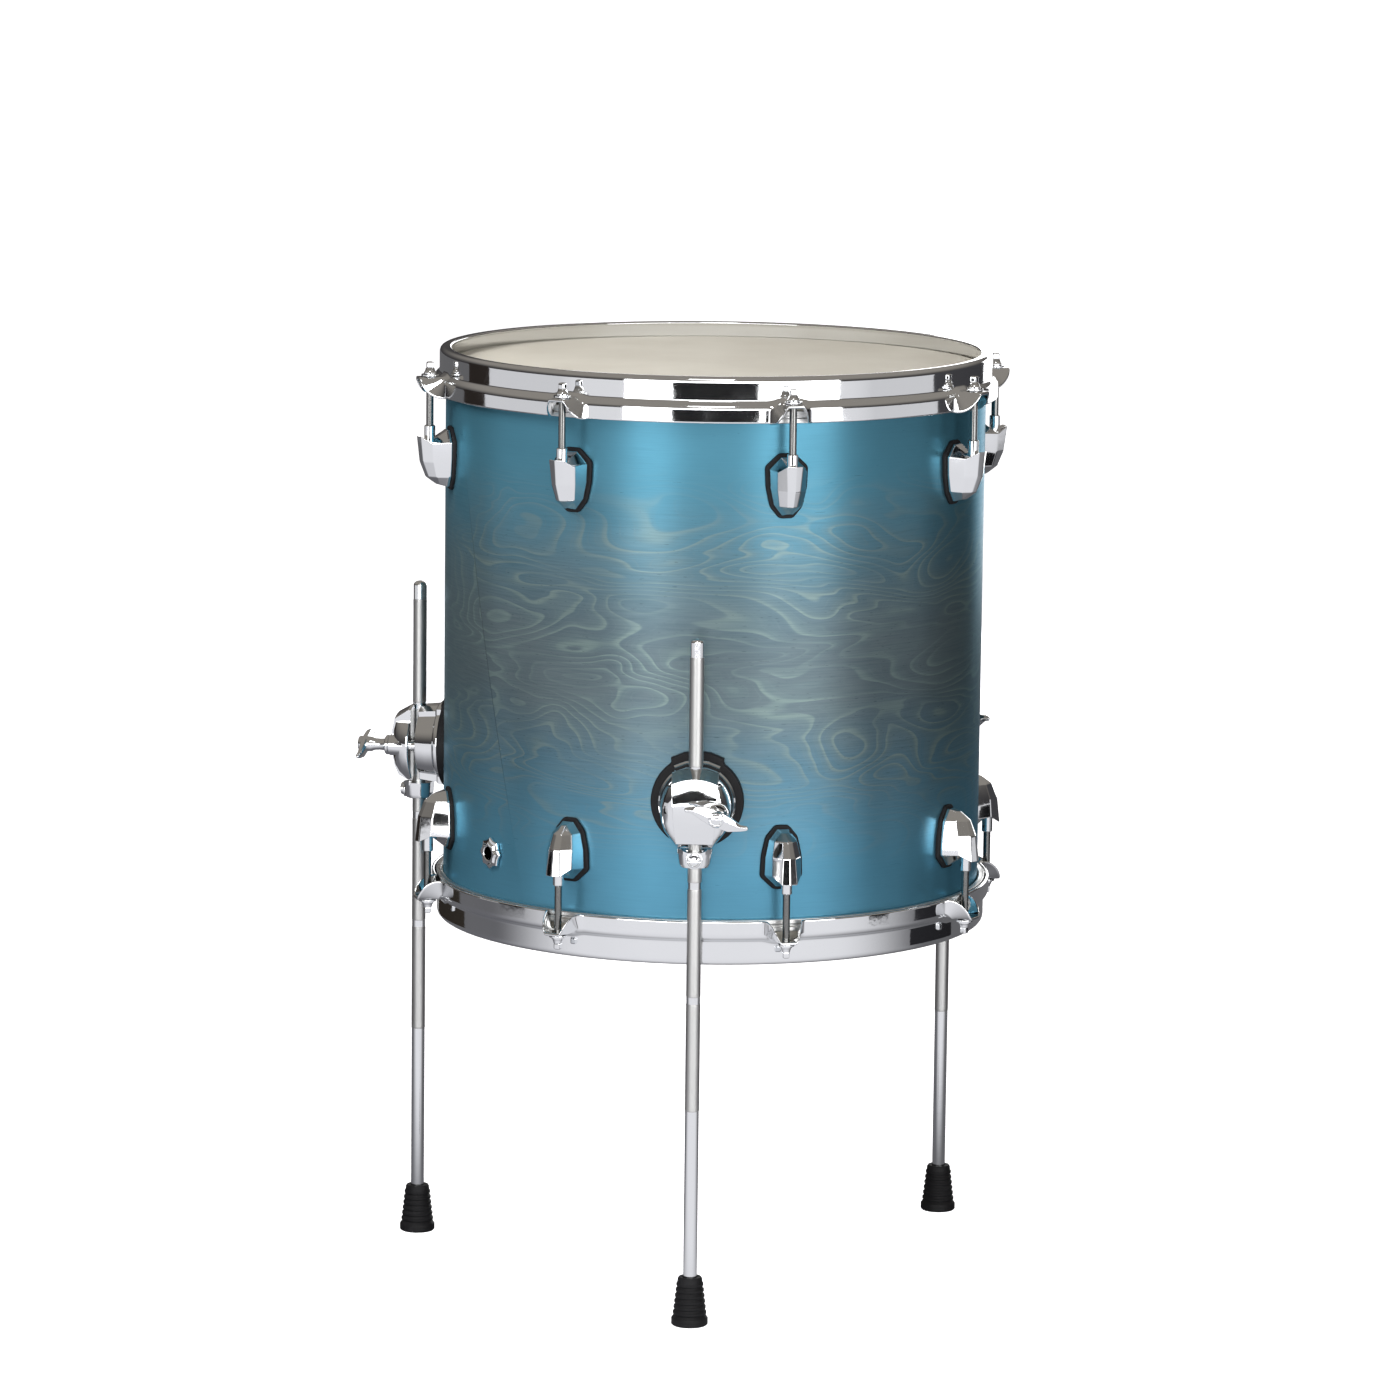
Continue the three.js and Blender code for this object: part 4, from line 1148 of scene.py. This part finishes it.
def key_screw_mesh():
    profile = [(0, LEG_BORE), (3, LEG_BORE), (3, 11.6), (4.5, 11.6), (4.8, 11.9), (4.8, 13.4), (4.4, 13.9),
               (3.6, 14), (3.3, 13.6), (2.4, 13.7), (0, 14.4)]
    screw = raw_mesh("lock_key_screw", standing_out(turned(profile, 48), up=LOCK_SCREW))
    return finished(slotted(screw, 1.2, 1.3, 14.4, LOCK_SCREW), CHROME, sharp=30)


def build_legs():
    gasket, base, jaw, bolt = bracket_gasket_mesh(), bracket_base_mesh(), jaw_mesh(), wing_bolt_mesh()
    screws = [inside_screw("bracket_screw", 2.5, 5, 3.2, GASKET_FACE + 6, up, (1.3, 1.5))
              for up in (-BRACKET_SCREW_REACH, BRACKET_SCREW_REACH)]
    rod, foot, lock, key_screw = leg_mesh(), foot_mesh(), lock_mesh(), key_screw_mesh()
    for side, angle in LEG_ANGLES.items():
        station = lifted(BRACKET_HEIGHT) @ Matrix.Rotation(angle, 4, "Z")
        leg = station @ set_out(LEG_CIRCLE)
        seat = station @ Matrix.Translation(Vector(spot(WING_OFFSET, WING_SEAT, -WING_DROP)) * MM)
        base_node, lock_node = f"leg_bracket_base_{side}", f"memory_lock_{side}"
        placed(f"bracket_gasket_{side}", gasket, station, "root", "rubber", f"leg_bracket_gasket_{side}")
        placed(f"bracket_base_{side}", base, station, "root", "chrome", base_node)
        for number, screw in enumerate(screws, start=1):
            placed(f"bracket_screw_{side}_{number}", screw, station, "root", "chrome", base_node)
        placed(f"bracket_jaw_{side}", jaw, station, f"jaw_{side}", "chrome", f"leg_bracket_jaw_{side}")
        placed(f"wing_bolt_body_{side}", bolt, seat, f"wing_bolt_{side}", "chrome", f"wing_bolt_{side}")
        placed(f"leg_rod_{side}", rod, leg, f"leg_{side}", "leg_steel", f"leg_{side}")
        placed(f"rubber_foot_{side}", foot, leg, f"leg_{side}", "rubber", f"leg_foot_{side}")
        placed(f"memory_lock_block_{side}", lock, leg, lock_node, "chrome", lock_node)
        placed(f"memory_lock_key_screw_{side}", key_screw, leg, lock_node, "chrome", lock_node)


# Camera, floor and light, in metres
def add_camera():
    camera = bpy.data.cameras.new("camera")
    camera.sensor_width = 36
    camera.lens = CAMERA_LENS
    camera.clip_start, camera.clip_end = 0.1, 200
    camera.dof.use_dof = False
    holder = linked("camera", camera)
    c, s = math.cos(CAMERA_AZIMUTH), math.sin(CAMERA_AZIMUTH)
    across, ahead, rise = Vector((c, s, 0)), Vector((-s, c, 0)), Vector((0, 0, 1))
    level = across * math.sin(CAMERA_YAW) + ahead * math.cos(CAMERA_YAW)
    forward = level * math.cos(CAMERA_PITCH) + rise * math.sin(CAMERA_PITCH)
    right = across * math.cos(CAMERA_YAW) - ahead * math.sin(CAMERA_YAW)
    up = right.cross(forward)
    rolled_right = right * math.cos(CAMERA_ROLL) + up * math.sin(CAMERA_ROLL)
    rolled_up = up * math.cos(CAMERA_ROLL) - right * math.sin(CAMERA_ROLL)
    place = Vector((CAMERA_DISTANCE * s, -CAMERA_DISTANCE * c, CAMERA_HEIGHT))
    columns = [rolled_right, rolled_up, -forward, place]
    holder.matrix_world = Matrix([[column[i] for column in columns] for i in range(3)] + [[0, 0, 0, 1]])
    bpy.context.scene.camera = holder


def staged(name, points, faces, material, camera, glossy):
    """A part of the studio that casts no shadow and lights nothing. The last two say which rays see it."""
    mesh = bpy.data.meshes.new(name)
    mesh.from_pydata(points, [], faces)
    mesh.materials.append(material)
    thing = linked(name, mesh)
    thing.visible_camera, thing.visible_glossy = camera, glossy
    thing.visible_diffuse = thing.visible_shadow = False


def camera_side(turn, distance, height):
    """A place round the drum. Turn counts degrees from the camera's side to the picture's right."""
    angle = CAMERA_AZIMUTH + math.radians(turn)
    return Vector((distance * math.sin(angle), -distance * math.cos(angle), height))


def floor_material(name, base):
    """Pale floor that glows by itself, with a faint mottle."""
    finish = Finish(name, (base, base, base), roughness=0.9, specular=0.1)
    mottle = finish.noise(finish.place(), 3, detail=3)
    tone = finish.mixed(mottle, (base - 0.01, base - 0.01, base), (base + 0.01, base + 0.01, base + 0.02))
    finish.set("Base Color", tone)
    finish.set("Emission Color", (0.97, 0.97, 1, 1))
    finish.set("Emission Strength", 0.95)
    return finish


def floor_glow(finish):
    """Glow of the mirrored floor: white in front of the drum and far out, dull beside and behind it."""
    parts = finish.split(finish.place())
    toward = finish.math("MULTIPLY", parts[0], math.sin(CAMERA_AZIMUTH))
    toward = finish.math("MULTIPLY_ADD", parts[1], -math.cos(CAMERA_AZIMUTH), toward)
    length = finish.node("ShaderNodeVectorMath", operation="LENGTH")
    finish.feed(length.inputs[0], finish.place())
    distance = length.outputs["Value"]
    facing = finish.math("DIVIDE", toward, distance)
    in_front = finish.spread(facing, -0.1, 0.6, 0.12, 0.8)
    beside = finish.spread(facing, -0.55, -0.25, 0.0, 0.66)
    far_out = finish.times(finish.spread(distance, 2.7, 3.2), beside)
    return finish.math("MAXIMUM", in_front, far_out)


def add_floor():
    """A white floor and a far wall for the camera, and a duller floor that only the object mirrors."""
    size = 30
    drop = 0.085  # The white floor lies lower than the feet of a leg that is slid down

    def square(height):
        return [(x * size, y * size, height) for x, y in ((-1, -1), (1, -1), (1, 1), (-1, 1))]

    white = floor_material("studio_floor", 0.9)
    staged("studio_floor", square(FLOOR_HEIGHT - drop), [(0, 1, 2, 3)], white.material, True, False)
    dull = floor_material("mirrored_floor", 0.02)
    dull.set("Emission Strength", floor_glow(dull))
    staged("mirrored_floor", square(FLOOR_HEIGHT), [(0, 1, 2, 3)], dull.material, False, True)
    steps = 48
    heights = (FLOOR_HEIGHT - drop, size)
    ring = [camera_side(360 * i / steps, size - 2, height) for height in heights for i in range(steps)]
    staged("studio_wall", ring, ring_faces(2, steps), white.material, True, False)


def add_card(name, turn, distance, width, low, high, tone):
    """An upright card facing the drum, seen in reflections only. Width is an angle in degrees."""
    start, end = (camera_side(turn + side * width / 2, distance, 0) for side in (-1, 1))
    corners = [(p.x, p.y, z) for p, z in ((start, low), (end, low), (end, high), (start, high))]
    material = Finish(name, tone, roughness=0.9, specular=0.1).material
    staged(name, corners, [(0, 1, 2, 3)], material, False, True)


def add_lamp(name, turn, distance, height, width, tall, power, target=-0.2):
    """A rectangular lamp that points at a height on the drum's axis."""
    lamp = bpy.data.lights.new(name, "AREA")
    lamp.shape = "RECTANGLE"
    lamp.size, lamp.size_y = width, tall
    lamp.energy = power
    holder = linked(name, lamp)
    holder.location = camera_side(turn, distance, height)
    aim = Vector((0, 0, target)) - holder.location
    holder.rotation_euler = aim.to_track_quat("-Z", "Y").to_euler()
    holder.visible_camera = False
    return holder


def light_world():
    """A dim room, lighter towards the ceiling."""
    world = bpy.data.worlds.new("studio")
    bpy.context.scene.world = world
    world.use_nodes = True
    graph = Graph(world.node_tree)
    rise = graph.spread(graph.split(graph.place("Generated"))[2], 0.0, 0.6)
    room = graph.mixed(rise, (0.045, 0.043, 0.045), (0.27, 0.25, 0.225))
    graph.feed(world.node_tree.nodes["Background"].inputs["Color"], room)
    bpy.context.scene.view_settings.view_transform = "Standard"


add_camera()
build_shell()
film, flesh, hoop, lugs, rods = film_mesh(), flesh_hoop_mesh(), hoop_mesh(), lug_meshes(), rod_meshes()
for end in ("batter", "resonant"):
    build_end(end, film, flesh, hoop, lugs, rods)
build_vent()
build_legs()
add_floor()
light_world()
for turn in (-22, 7, 36):
    add_lamp(f"softbox_{turn}", turn, 3.8, 0.15, 2.0, 1.6, 40)
add_lamp("head_softbox", -60, 1.2, 0.75, 0.9, 0.7, 27, target=0).visible_glossy = False
add_lamp("top_softbox", -2, 2.4, 2.4, 0.9, 0.6, 12, target=0)
add_lamp("back_softbox", 164, 3.8, 0.0, 2.6, 1.4, 28)
add_card("camera_side_card", 0, 2.6, 34, -0.41, -0.03, (0.01, 0.01, 0.012))
add_card("left_strip_card", -80, 1.0, 13, -0.55, -0.36, (0.01, 0.01, 0.012))
add_card("right_strip_card", 66, 1.0, 9, -0.55, -0.36, (0.01, 0.01, 0.012))
add_card("low_left_card", -146, 1.25, 58, FLOOR_HEIGHT, -0.5, (0.03, 0.025, 0.02))
add_card("low_right_card", 100, 1.25, 28, FLOOR_HEIGHT, -0.5, (0.03, 0.03, 0.035))
add_card("left_card", -113, 3.3, 16, FLOOR_HEIGHT, 0.3, (0.05, 0.04, 0.035))
add_card("right_card", 121, 3.3, 44, FLOOR_HEIGHT, 0.3, (0.09, 0.09, 0.10))
